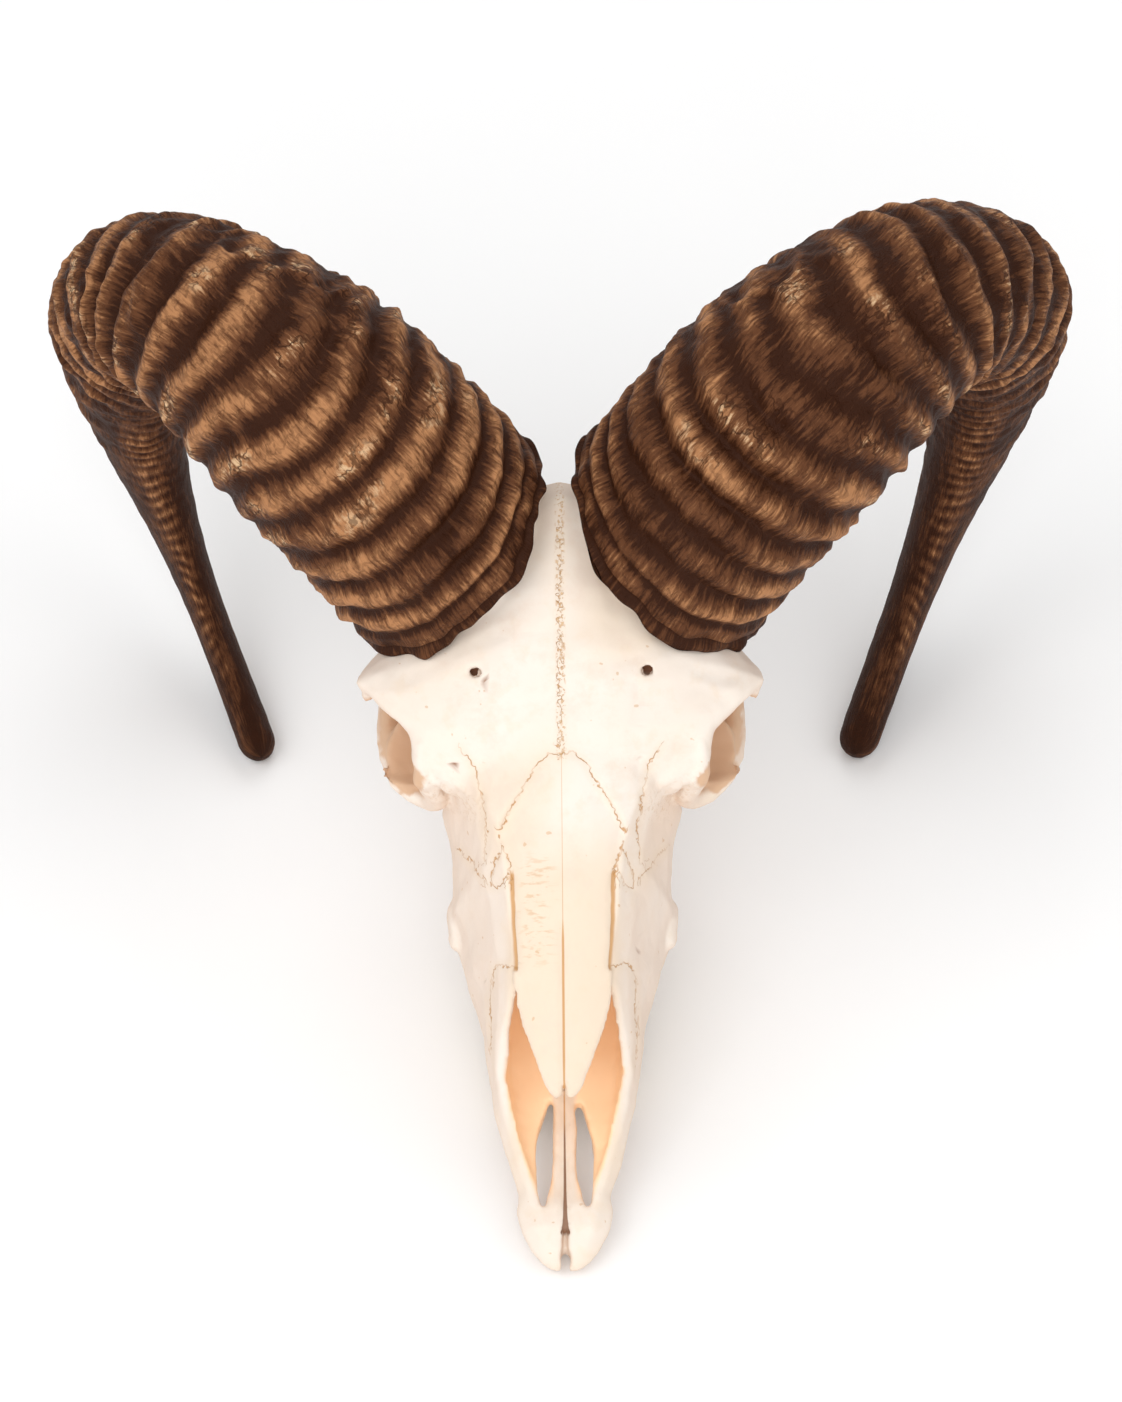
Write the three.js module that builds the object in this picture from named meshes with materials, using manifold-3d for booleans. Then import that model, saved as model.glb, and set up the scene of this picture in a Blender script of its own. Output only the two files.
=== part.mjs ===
// Mouflon skull with its two curled horns, resting on the front cheek teeth and the horn undersides.
// Millimetres. X is to the right, Y runs from the muzzle to the back of the head, Z is up.
// Everything is drawn with the tooth plane level at z = 0 and the front of the muzzle at y = 0,
// then tilted to the rest pose at the end.

import * as THREE from 'three';
import { mergeVertices } from 'three/addons/utils/BufferGeometryUtils.js';
import Module from 'manifold-3d';

const wasm = await Module();
wasm.setup();

// General sizes
const SUTURE = 0.3;
const FLAT_DEPTH = 0.7;
const BIG = 900;
const BONE = 0xe9dcc6;
const HORN = 0x5a3a24;

// Face: y and roof height, then half-width and height of the shoulder, the widest part and the base
const FACE = [
  [0.3, 21.5, 3.0, 21.5, 4.6, 20.5, 2.5, 18.5],
  [2.5, 23.5, 5.0, 23.5, 7.7, 21, 5, 17.5],
  [6, 26, 7.0, 26, 10.8, 22, 7.5, 17],
  [12, 28.5, 8.5, 29, 13.9, 23, 10, 16.5],
  [18, 29, 9.5, 30, 15.6, 24, 11, 16.5],
  [24, 29, 11.5, 31, 14.9, 25, 10.5, 17],
  [37, 33, 15.6, 35, 19.0, 29, 14, 18],
  [48, 39, 18.9, 41, 22.1, 32, 17, 19],
  [57, 45, 20.8, 47, 23.6, 35, 19, 18],
  [67, 60, 19.3, 59, 25.2, 38, 21, 15],
  [77, 79, 17.0, 71, 26.6, 40, 22.5, 12.5],
  [85, 83, 16.4, 77, 28.3, 40, 24.5, 12],
  [92, 87, 17.0, 81, 30.6, 39, 26, 12],
  [100, 91, 17.6, 86, 32.4, 38, 28, 12],
  [107, 94, 18.0, 89.5, 34.8, 38, 29.5, 12],
  [114, 97, 19.0, 93, 37.5, 38.5, 31, 12],
  [119, 99.6, 20.2, 95.6, 35.9, 42, 32, 12],
  [127, 103.2, 23.0, 98.5, 35.6, 46, 33, 12.5],
  [134, 106, 27.0, 99, 35.8, 50, 33.5, 14],
  [139, 108, 31.0, 97.5, 36.8, 54, 33.5, 17],
  [145, 110.5, 35.0, 95, 39, 58, 32, 21],
  [150, 111, 33.0, 93, 36, 60, 28, 27],
  [155, 108, 26.0, 88, 27, 62, 22, 34],
];
const FACE_STEP = 9;

// Nasal cavity: y, floor height, low, middle and top half-widths, middle height
const CAVITY = [
  [17, 29.4, 3, 4, 6, 30],
  [20, 28.4, 6, 6.5, 7.5, 30],
  [25, 27.2, 8, 9, 9.8, 29.5],
  [37, 26.5, 12, 13.5, 13.6, 31],
  [48, 26.5, 14.5, 17, 16.6, 35],
  [57, 27, 16, 19, 18.7, 38],
  [67, 28, 17, 20.5, 17.4, 42],
  [77, 29, 18, 20.5, 14.8, 50],
  [90, 30, 17, 20, 13.5, 55],
  [105, 32, 16, 18.5, 13.5, 60],
  [118, 34, 12, 13.5, 11, 62],
  [127, 38, 7, 8, 6, 62],
];
const CAVITY_OPEN_TO = 72;
const CAVITY_ROOF_BACK = 92;

// Nasal bones: y, half-width; and the ridge line of the nose as y, height
const NASAL_WIDTH = [
  [43.2, 2.8], [44.4, 4.4], [47, 6.3], [52, 8.3], [57, 10.2], [62, 12.3], [71, 14.9], [80, 15.6], [90, 16.3],
  [100, 16.9], [107, 17.3], [114, 18.4], [119, 20.2], [123, 18.2], [127, 14.6], [131, 12.0],
  [135, 10.2], [138.5, 8.0], [141, 4.0], [142.5, 1.0],
];
const NOSE_LINE = [
  [42, 61.4], [48, 64.6], [60, 71], [75, 78.5], [90, 86], [105, 93.2], [120, 100], [134, 106], [145, 111],
];
const NASAL_THICKNESS = 3.2;
const NASAL_DROP = 5.2;
const NASAL_REACH = 18;
const TIP_NOTCH = 6;

// Skull roof: y, crest height, edge half-width and height, core half-width and base height
const ROOF = [
  [137, 107, 37, 90, 19, 47],
  [142, 109.5, 45, 95, 19, 46],
  [150, 113.5, 46.5, 103, 19, 45],
  [156, 116, 50.5, 105, 19, 45],
  [164, 120, 59, 104.3, 19.5, 45],
  [171, 123.5, 65.5, 100.8, 21, 45],
  [175, 125, 64.2, 99.5, 23, 45],
  [182, 128, 59, 99, 26, 45],
  [190, 131.5, 53, 99, 29, 44],
  [200, 134.5, 48, 98, 31, 44],
  [210, 137, 43, 95, 32, 44],
  [218, 138, 39, 92, 31, 44],
  [226, 133, 34, 86, 29, 44],
  [234, 117, 29, 80, 26, 46],
  [241, 98, 24, 74, 21, 50],
  [246, 82, 15, 68, 13, 56],
];
const ROOF_EDGE = 5;
const BRAINCASE = { centre: [0, 205, 80], radii: [35, 43, 38] };
const OCCIPUT = { centre: [0, 233, 64], radii: [38, 13.5, 30] };
const CONDYLE = { centre: [11, 243, 46], radii: [8.5, 7, 10.5] };
const BULLA = { centre: [21, 212, 37], radii: [8, 13, 11] };
const PTERYGOID = { centre: [11.5, 155, 37], radii: [2.4, 21, 14] };
const CHOANA = { centre: [0, 150, 29], radii: [9.3, 25, 13] };
const FORAMEN_MAGNUM_RADIUS = 8.5;

// Orbit: rim points, eye hollow and cheek mass below it, all on the right side
const ORBIT_RIM = [
  [61.5, 171, 99], [59.4, 168, 87], [59, 164.5, 77.5], [56, 156, 69], [50.5, 148.5, 65.5], [44.5, 145.5, 66],
  [41, 143, 71], [40.5, 141, 80], [43.5, 141.5, 89], [43.5, 147, 97.5], [45.5, 154, 101.5], [55, 164, 102.5],
];
const ORBIT_RIM_RADII = [3.2, 2.6, 2.7, 3, 3.2, 3.5, 3.8, 4, 4, 4, 4, 3.8, 3.2];
const EYE = { centre: [49, 160, 83], radii: [21, 19, 17] };
const CHEEK = { centre: [41.5, 163, 66], radii: [16, 17, 11] };
const TUBER = { centre: [34.7, 114, 38.5], radii: [4.1, 9, 6.5] };
const ARCH = [[52, 156, 62], [56, 166, 60], [56.5, 182, 59], [54.5, 198, 60], [47, 211, 62], [33, 221, 63]];
const ARCH_RADII = [4, 5.5];
const BROW_HOLE = { at: [27.5, 164.5, 121], radius: 1.7, depth: 7 };

// Divisions between the bones, each a plane y + slope * z = place
const PREMAXILLA_CUT = { slope: -0.72, place: 35.6 };
const MAXILLA_CUT = { slope: 0.75, place: 177 };

// Palate, its two long openings, the middle notch and the cheek teeth
const PALATE_HEIGHT = 21;
const TEETH_START = 62.5;
const TOOTH_LENGTHS = [8, 9, 9.5, 13, 15.5, 19];
const TOOTH_WIDTHS = [6.6, 8.4, 9.2, 10.4, 11.8, 11.6];
const TOOTH_LINE = { x0: 16.4, slope: 0.14 };
const TOOTH_ROOT = 17;
const FISSURE = [
  [3.3, 61], [5, 57], [7.6, 50], [9, 44], [9.6, 38], [9.4, 31], [9.2, 24.5], [8.4, 19.5], [7.2, 16.3],
  [6, 19.5], [4.8, 24], [3.8, 29], [3.4, 36], [3.3, 53],
];
const NOTCH = { centre: [0, 3.2, 22], radii: [1.95, 4.2, 14] };
// Wedge between the two halves of the snout, behind the notch: half-width, y; and the height of its floor
const WEDGE = [[1.25, 4], [1.2, 8], [0.8, 15], [0.45, 24], [0.3, 34]];
const WEDGE_FLOOR = 22;
const CHEEK_HOLE = { at: [26, 77, 33], radius: 2.6 };

// Horn: a coil about a slanted axis, written in a frame turned by HORN_FRAME_TILT about X
const HORN_FRAME_TILT = THREE.MathUtils.degToRad(28);
const COIL = {
  centre: [-61.5, 269.1, -53.4], azimuth: 3.73, elevation: 0.095, start: -0.507, sweep: 4.261,
  radius: 84.3, decay: -0.143, rise: 70.05, riseGrowth: 11.5,
};
// Each horn's own drift off the coil, across and up the face, then its half-sizes along and across the curl
const HORNS = {
  left: {
    side: -1,
    drift: [
      [0, -3.4, 4.8], [0.15, -0.4, 1.9], [0.3, -0.2, 0.7], [0.4, 1.1, -0.4], [0.5, 1.1, -2.1],
      [0.6, 0.6, -1], [0.8, 1.3, 0.5], [1, 0.5, -0.2],
    ],
    width: [
      [0, 40], [0.07, 40.3], [0.18, 39.8], [0.32, 32], [0.48, 26], [0.64, 17.4], [0.82, 7.2], [1, 6.3],
    ],
    depth: [[0, 37], [0.2, 37.9], [0.4, 29.1], [0.6, 27.2], [0.8, 17], [1, 7.1]],
  },
  right: {
    side: 1,
    drift: [
      [0, -2.7, 5.7], [0.15, 1.2, 3.9], [0.3, 1.4, 3.4], [0.4, 1.2, 1], [0.5, -0.3, -1.9],
      [0.6, -0.4, 0], [0.8, 2.8, 1.1], [1, 2.9, -0.8],
    ],
    width: [
      [0, 40.2], [0.07, 40.4], [0.18, 40.3], [0.32, 33.1], [0.48, 26.8], [0.64, 18.3], [0.82, 8.7], [1, 6.8],
    ],
    depth: [[0, 36.4], [0.2, 38.7], [0.4, 28.9], [0.6, 26.9], [0.8, 17.6], [1, 7.1]],
  },
};
const BASE_SINK = 14;
const BASE_SINK_FADE = 0.14;
const BASE_SLANT = 0.21;
const BASE_SLANT_FADE = 0.12;
const TIP_ROUNDING = 0.018;
const HORN_SIDES = 16;
const RIDGES = 23;
const RIDGED_TO = 0.82;
const RIDGE_CROWDING = 0.9;
const RIDGE_BULGE = 0.35;
const RIDGE_LEAN = 0.18;
const RIDGE_HEIGHT = 1.8;
const RIM_HEIGHT = 1.6;
const PEDICLE_SCALE = 0.9;
const PEDICLE_DEPTH = 26;

function solid(points, faces) {
  let volume = 0;
  for (const [a, b, c] of faces) volume += points[a].dot(points[b].clone().cross(points[c]));
  const turned = volume < 0 ? faces.map(([a, b, c]) => [a, c, b]) : faces;
  return new wasm.Manifold(new wasm.Mesh({
    numProp: 3,
    vertProperties: new Float32Array(points.flatMap((p) => [p.x, p.y, p.z])),
    triVerts: new Uint32Array(turned.flat()),
  }));
}

function fromGeometry(geometry) {
  geometry.deleteAttribute('normal');
  geometry.deleteAttribute('uv');
  const welded = mergeVertices(geometry, 1e-4);
  const place = welded.attributes.position;
  const points = [];
  for (let i = 0; i < place.count; i += 1) points.push(new THREE.Vector3().fromBufferAttribute(place, i));
  const faces = [];
  for (let i = 0; i < welded.index.count; i += 3) {
    faces.push([welded.index.getX(i), welded.index.getX(i + 1), welded.index.getX(i + 2)]);
  }
  return solid(points, faces);
}

// A closed skin over rings of equal point count, with its two end rings filled
function loft(rings, closed = false) {
  const count = rings[0].length;
  const points = rings.flat();
  const faces = [];
  const last = closed ? rings.length : rings.length - 1;
  for (let i = 0; i < last; i += 1) {
    const here = i * count;
    const next = ((i + 1) % rings.length) * count;
    for (let j = 0; j < count; j += 1) {
      const k = (j + 1) % count;
      faces.push([here + j, here + k, next + k], [here + j, next + k, next + j]);
    }
  }
  if (!closed) {
    const lastBase = points.length - count;
    for (const [ring, base, flip] of [[rings[0], 0, true], [rings[rings.length - 1], lastBase, false]]) {
      const middle = ring.reduce((sum, p) => sum.add(p), new THREE.Vector3()).divideScalar(count);
      const hub = points.push(middle) - 1;
      for (let j = 0; j < count; j += 1) {
        const k = (j + 1) % count;
        faces.push(flip ? [hub, base + k, base + j] : [hub, base + j, base + k]);
      }
    }
  }
  return solid(points, faces);
}

function ball({ centre, radii }, side = 1, wide = 14, high = 9) {
  const geometry = new THREE.SphereGeometry(1, wide, high);
  geometry.scale(...radii);
  geometry.translate(centre[0] * side, centre[1], centre[2]);
  return fromGeometry(geometry);
}

// A rounded bar through the given points; radii are along the given up direction and across it
function limb(path, radii, up = [0, 0, 1], sides = 10, steps = 2, closed = false) {
  const curve = new THREE.CatmullRomCurve3(path.map((p) => new THREE.Vector3(...p)), closed);
  const count = (closed ? path.length : path.length - 1) * steps;
  const rings = [];
  const reference = new THREE.Vector3(...up);
  const ringAt = (t, scale, shift) => {
    const tangent = curve.getTangent(t);
    const lift = reference.clone().addScaledVector(tangent, -reference.dot(tangent)).normalize();
    const across = tangent.clone().cross(lift);
    const at = curve.getPoint(t).addScaledVector(tangent, shift);
    const place = Math.min(t * (radii.length - 1), radii.length - 1.0001);
    const low = Math.floor(place);
    const [a, b] = radii.length === 1 ? radii[0] : [0, 1].map((k) => (
      THREE.MathUtils.lerp(radii[low][k], radii[low + 1][k], place - low)));
    return Array.from({ length: sides }, (_, i) => {
      const angle = (i / sides) * Math.PI * 2;
      return at.clone().addScaledVector(lift, a * scale * Math.cos(angle))
        .addScaledVector(across, b * scale * Math.sin(angle));
    });
  };
  if (closed) {
    for (let i = 0; i < count; i += 1) rings.push(ringAt(i / count, 1, 0));
    return loft(rings, true);
  }
  const end = Math.min(...radii[0]) * 0.6;
  rings.push(ringAt(0, 0.55, -end));
  for (let i = 0; i <= count; i += 1) rings.push(ringAt(i / count, 1, 0));
  rings.push(ringAt(1, 0.55, end));
  return loft(rings);
}

// A block whose outline lies in X and Y, standing from one height to another
function post(outline, low, high) {
  const ring = (z) => outline.map(([x, y]) => new THREE.Vector3(x, y, z));
  return loft([ring(low), ring(high)]);
}

// Everything on the low side of the plane normal . p = place
function halfSpace(normal, place) {
  const box = new THREE.BoxGeometry(BIG, BIG, BIG);
  box.translate(0, 0, -BIG / 2);
  const unit = new THREE.Vector3(...normal);
  const length = unit.length();
  unit.normalize();
  box.applyQuaternion(new THREE.Quaternion().setFromUnitVectors(new THREE.Vector3(0, 0, 1), unit));
  box.translate(...unit.clone().multiplyScalar(place / length).toArray());
  return fromGeometry(box);
}

function keepLow(body, normal, place) {
  return body.intersect(halfSpace(normal, place));
}

function keepHigh(body, normal, place) {
  return body.subtract(halfSpace(normal, place));
}

function largest(body) {
  const pieces = body.decompose();
  pieces.sort((a, b) => b.volume() - a.volume());
  return pieces[0];
}

// Smooth reading of a table whose rows start with the place along it
function read(table, at) {
  let i = 0;
  while (i < table.length - 2 && at > table[i + 1][0]) i += 1;
  const a = table[i];
  const b = table[i + 1];
  const before = table[Math.max(i - 1, 0)];
  const after = table[Math.min(i + 2, table.length - 1)];
  const t = THREE.MathUtils.clamp((at - a[0]) / (b[0] - a[0]), 0, 1);
  return a.slice(1).map((start, k) => {
    const stop = b[k + 1];
    const span = b[0] - a[0];
    const slopeA = ((stop - before[k + 1]) / (b[0] - before[0])) * span;
    const slopeB = ((after[k + 1] - start) / (after[0] - a[0])) * span;
    const t2 = t * t;
    const t3 = t2 * t;
    return (2 * t3 - 3 * t2 + 1) * start + (t3 - 2 * t2 + t) * slopeA + (3 * t2 - 2 * t3) * stop
      + (t3 - t2) * slopeB;
  });
}

// Places along a table, close enough together to follow its curve
function stations(table, step) {
  const places = [];
  for (let i = 0; i < table.length - 1; i += 1) {
    const parts = Math.max(1, Math.round((table[i + 1][0] - table[i][0]) / step));
    for (let k = 0; k < parts; k += 1) {
      places.push(table[i][0] + ((table[i + 1][0] - table[i][0]) * k) / parts);
    }
  }
  places.push(table[table.length - 1][0]);
  return places;
}

// A mirrored smooth ring at one place along Y, from half-outline keys given top to bottom
function mirroredRing(y, keys, steps) {
  const right = keys.map(([x, z]) => new THREE.Vector3(x, y, z));
  const left = keys.slice(1, -1).reverse().map(([x, z]) => new THREE.Vector3(-x, y, z));
  const curve = new THREE.CatmullRomCurve3([...right, ...left], true, 'centripetal');
  const count = (right.length + left.length) * steps;
  return Array.from({ length: count }, (_, i) => curve.getPoint(i / count).setY(y));
}

function faceBody() {
  return loft(stations(FACE, FACE_STEP).map((y) => {
    const [top, shoulder, shoulderZ, wide, wideZ, base, baseZ] = read(FACE, y);
    const keys = [
      [0, top], [shoulder * 0.55, top - (top - shoulderZ) * 0.22], [shoulder, shoulderZ],
      [shoulder + (wide - shoulder) * 0.62, shoulderZ + (wideZ - shoulderZ) * 0.5],
      [wide, wideZ], [base + (wide - base) * 0.4, baseZ + (wideZ - baseZ) * 0.32], [base - 1, baseZ],
      [base * 0.5, baseZ], [0, baseZ],
    ];
    return mirroredRing(y, keys, 2);
  }));
}

function noseHeight(y) {
  return read(NOSE_LINE, y)[0];
}

function cavityBody() {
  return loft(stations(CAVITY, 9).map((y) => {
    const [floor, low, middle, high, middleZ] = read(CAVITY, y);
    const blend = THREE.MathUtils.smoothstep(y, CAVITY_OPEN_TO, CAVITY_ROOF_BACK);
    const open = read(FACE, y)[0] + 12;
    const closed = noseHeight(y) - NASAL_THICKNESS - 1;
    const top = THREE.MathUtils.lerp(open, closed, blend);
    const brow = Math.min(read(FACE, y)[2], closed - 2);
    const keys = [
      [0, top], [high * 0.9, top], [high, brow], [middle, middleZ], [low, floor + 1], [0, floor],
    ];
    return mirroredRing(y, keys, 2);
  }));
}

// One nasal bone, grown on every side by the given amount, the left one where side is -1
function nasalBone(side, grow) {
  const rings = stations(NASAL_WIDTH, 5).map((y) => {
    const reach = Math.max(read(NASAL_WIDTH, y)[0], 0.8) + grow;
    const inner = SUTURE / 2 - grow + THREE.MathUtils.clamp((42 + TIP_NOTCH - y) / TIP_NOTCH, 0, 1) * 1.6;
    const top = noseHeight(y);
    const skin = (x) => top - NASAL_DROP * (Math.max(x, 0) / NASAL_REACH) ** 2.2;
    const outer = Math.max(reach, inner + 0.6);
    const steps = 4;
    const up = [];
    const down = [];
    for (let i = 0; i <= steps; i += 1) {
      const x = inner + ((outer - inner) * i) / steps;
      const thin = i === steps ? 0.55 : 1;
      up.push([x, skin(x) + (grow > 0 ? 5 : 0)]);
      down.push([x, skin(x) - NASAL_THICKNESS * thin - grow]);
    }
    return [...up, ...down.reverse()].map(([x, z]) => new THREE.Vector3(x * side, y, z));
  });
  const first = rings[0].map((p) => p.clone().setY(p.y - grow));
  const last = rings[rings.length - 1].map((p) => p.clone().setY(p.y + grow));
  return loft(grow > 0 ? [first, ...rings.slice(1, -1), last] : rings);
}

function toothRow(side) {
  const teeth = [];
  let y = TEETH_START;
  TOOTH_LENGTHS.forEach((length, index) => {
    const middle = y + length / 2;
    const x = TOOTH_LINE.x0 + TOOTH_LINE.slope * (middle - TEETH_START);
    const width = TOOTH_WIDTHS[index];
    const lobes = index < 3 ? 1 : 2;
    const ring = (z, scale) => Array.from({ length: 16 }, (_, i) => {
      const angle = (i / 16) * Math.PI * 2;
      const along = Math.sign(Math.sin(angle)) * Math.abs(Math.sin(angle)) ** 0.6;
      const across = Math.sign(Math.cos(angle)) * Math.abs(Math.cos(angle)) ** 0.6;
      const fold = lobes === 2 ? 1 - 0.24 * Math.exp(-((along / 0.22) ** 2)) : 1;
      return new THREE.Vector3(
        side * (x + across * (width / 2) * scale * fold),
        middle + along * (length / 2 - 0.25) * scale,
        z,
      );
    });
    teeth.push(loft([ring(0, 0.82), ring(2.2, 1), ring(TOOTH_ROOT, 0.9)]));
    y += length;
  });
  return teeth;
}

function join(bodies) {
  return bodies.reduce((sum, body) => sum.add(body));
}

function cut(body, tools) {
  return tools.reduce((rest, tool) => rest.subtract(tool), body);
}

// Place along a horn from 0 at the base to 1 at the tip, on a coil that widens as it goes
function coilPoint(own, t, axis, first, second) {
  const turn = COIL.start + COIL.sweep * t;
  const reach = COIL.radius * Math.exp(-COIL.decay * t);
  const [across, up] = read(own.drift, t);
  const point = new THREE.Vector3(...COIL.centre).addScaledVector(first, reach * Math.cos(turn))
    .addScaledVector(second, reach * Math.sin(turn))
    .addScaledVector(axis, COIL.rise * t + COIL.riseGrowth * t * t);
  point.x += across;
  point.y += up;
  point.z -= BASE_SINK * Math.exp(-t / BASE_SINK_FADE);
  return point;
}

// Ridges are counted from the base: the count reached at a place, and how far they lean round the horn
function ridgeCount(t) {
  return RIDGES * (t / RIDGED_TO) ** RIDGE_CROWDING;
}

function ridgeLean(t, angle) {
  const fade = (1 - Math.exp(-t / 0.03)) * (1 - THREE.MathUtils.smoothstep(t, 0.6, RIDGED_TO));
  const bulge = RIDGE_BULGE * Math.cos(angle) * Math.exp(-t / 0.35);
  return fade * (bulge + RIDGE_LEAN * Math.sin(angle * 2 + t * 9));
}

function placeOf(count, angle) {
  const level = RIDGED_TO * (count / RIDGES) ** (1 / RIDGE_CROWDING);
  const leaning = Math.max(count - ridgeLean(level, angle), 0);
  return Math.min(RIDGED_TO * (leaning / RIDGES) ** (1 / RIDGE_CROWDING), 1);
}

// Height of a ridge where its count is known: valleys at whole numbers, fading towards the tip
function ridgeHeight(t, count) {
  const fade = 1 - THREE.MathUtils.smoothstep(t, 0.45, RIDGED_TO);
  const rim = RIM_HEIGHT * Math.exp(-((t / 0.02) ** 2));
  return -RIDGE_HEIGHT * (Math.cos(count * Math.PI * 2) + 0.2) * fade + rim;
}

function hornPoint(own, t, angle, lift, scale, slide) {
  const { azimuth, elevation } = COIL;
  const axis = new THREE.Vector3(
    Math.cos(elevation) * Math.cos(azimuth), Math.cos(elevation) * Math.sin(azimuth), Math.sin(elevation),
  );
  const first = new THREE.Vector3(0, 0, 1).addScaledVector(axis, -axis.z).normalize();
  const second = axis.clone().cross(first);
  const ahead = coilPoint(own, t + 0.002, axis, first, second);
  const tangent = ahead.sub(coilPoint(own, t - 0.002, axis, first, second)).normalize();
  const turn = COIL.start + COIL.sweep * t;
  const radial = first.clone().multiplyScalar(Math.cos(turn)).addScaledVector(second, Math.sin(turn));
  radial.addScaledVector(tangent, -radial.dot(tangent)).normalize();
  const across = tangent.clone().cross(radial);
  const end = Math.max(0, (t - 1 + TIP_ROUNDING) / TIP_ROUNDING);
  const shrink = Math.sqrt(Math.max(1 - end * end, 0.06)) * scale;
  const depth = (read(own.depth, t)[0] + lift) * shrink * Math.cos(angle);
  const width = (read(own.width, t)[0] + lift) * shrink * Math.sin(angle);
  const slant = BASE_SLANT * Math.exp(-t / BASE_SLANT_FADE);
  const point = coilPoint(own, t, axis, first, second).addScaledVector(radial, depth)
    .addScaledVector(across, width).addScaledVector(tangent, slant * width + slide);
  const c = Math.cos(HORN_FRAME_TILT);
  const s = Math.sin(HORN_FRAME_TILT);
  return new THREE.Vector3(-own.side * point.x, point.y * c - point.z * s, point.y * s + point.z * c);
}

function hornRing(own, count, grow, scale = 1, slide = 0) {
  return Array.from({ length: HORN_SIDES }, (_, j) => {
    const angle = (j / HORN_SIDES) * Math.PI * 2;
    const t = placeOf(count, angle);
    return hornPoint(own, t, angle, ridgeHeight(t, count) + grow, scale, slide);
  });
}

// A horn, or the room it needs where it is grown
function horn(own, grow) {
  const end = ridgeCount(1 - TIP_ROUNDING);
  const counts = Array.from({ length: Math.floor(end * 2) + 1 }, (_, i) => i / 2);
  counts.push(ridgeCount(1 - TIP_ROUNDING * 0.45), ridgeCount(1));
  return loft(counts.map((count, i) => hornRing(own, count, grow, 1, i === 0 ? -grow : 0)));
}

// The bony stub that carries a horn, ending just short of the horn's base
function pedicle(own) {
  return loft([[-PEDICLE_DEPTH, 0.8], [-PEDICLE_DEPTH / 2, 0.88], [-SUTURE * 1.1, PEDICLE_SCALE]].map(
    ([slide, scale]) => hornRing(own, 0, -RIM_HEIGHT, scale, slide),
  ));
}

const nasals = [-1, 1].map((side) => nasalBone(side, 0));
const nasalRoom = join([-1, 1].map((side) => nasalBone(side, SUTURE)));

const teeth = join([-1, 1].flatMap((side) => toothRow(side)));
const vault = loft([12, 40, 62, 80, 110, 145, 168].map((y) => {
  const half = THREE.MathUtils.clamp(11 + (y - 50) * 0.11, 8, 21);
  const roof = y < 50 ? 19 : PALATE_HEIGHT + 1.5;
  return mirroredRing(y, [[0, roof], [half * 0.7, roof - 1.5], [half, 8], [half, -6], [0, -6]], 2);
}));
const fissures = [-1, 1].map((side) => post(FISSURE.map(([x, y]) => [x * side, y]), 5, 60));
const holes = [-1, 1].flatMap((side) => [
  limb([
    [BROW_HOLE.at[0] * side, BROW_HOLE.at[1], BROW_HOLE.at[2] + 4],
    [BROW_HOLE.at[0] * side, BROW_HOLE.at[1] + 2, BROW_HOLE.at[2] - BROW_HOLE.depth],
  ], [[BROW_HOLE.radius, BROW_HOLE.radius]], [0, 1, 0], 8),
  limb([
    [(CHEEK_HOLE.at[0] + 3) * side, CHEEK_HOLE.at[1] - 4, CHEEK_HOLE.at[2]],
    [(CHEEK_HOLE.at[0] - 5) * side, CHEEK_HOLE.at[1] + 5, CHEEK_HOLE.at[2]],
  ], [[CHEEK_HOLE.radius * 1.4, CHEEK_HOLE.radius]], [0, 0, 1], 8),
]);
const wedge = post([...WEDGE, ...WEDGE.map(([x, y]) => [-x, y]).reverse()], WEDGE_FLOOR, 50);

const roof = loft(stations(ROOF, 9).map((y) => {
  const [top, edge, edgeZ, core, base] = read(ROOF, y);
  const drop = top - edgeZ;
  const keys = [
    [0, top], [edge * 0.45, top - drop * 0.2], [edge * 0.8, top - drop * 0.62], [edge, edgeZ],
    [edge - 2.5, edgeZ - ROOF_EDGE], [core + (edge - core) * 0.35, edgeZ - ROOF_EDGE - 4],
    [core, (edgeZ + base) / 2], [core * 0.9, base + 2], [0, base],
  ];
  return mirroredRing(y, keys, 2);
}));

const skullParts = [-1, 1].flatMap((side) => [
  ball(CONDYLE, side, 10, 7),
  ball(BULLA, side, 10, 7),
  ball(PTERYGOID, side, 10, 8),
  ball(CHEEK, side),
  ball(TUBER, side, 9, 6),
  limb(
    ORBIT_RIM.map(([x, y, z]) => [x * side, y, z]), ORBIT_RIM_RADII.map((r) => [r, r]),
    [side, -0.6, 0], 7, 2, true,
  ),
  limb(ARCH.map(([x, y, z]) => [x * side, y, z]), [[ARCH_RADII[1], ARCH_RADII[0]]], [0, 0, 1], 8, 2),
  limb(
    [[30 * side, 230, 54], [27 * side, 237, 38], [24 * side, 237, 20]], [[7, 4], [4.5, 3], [2.5, 2]],
    [0, 1, 0], 8,
  ),
  limb([[26 * side, 212, 50], [42 * side, 214, 57]], [[5.5, 5.5]], [0, 1, 0], 10),
]);
const skullCuts = [-1, 1].flatMap((side) => [
  ball(EYE, side, 16, 12),
  limb([[34 * side, 213.5, 54], [48 * side, 215, 59.5]], [[3, 3]], [0, 1, 0], 8),
]);
const magnum = limb(
  [[0, 262, 54], [0, 224, 62]], [[FORAMEN_MAGNUM_RADIUS, FORAMEN_MAGNUM_RADIUS * 1.15]], [0, 0, 1], 14,
);

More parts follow.
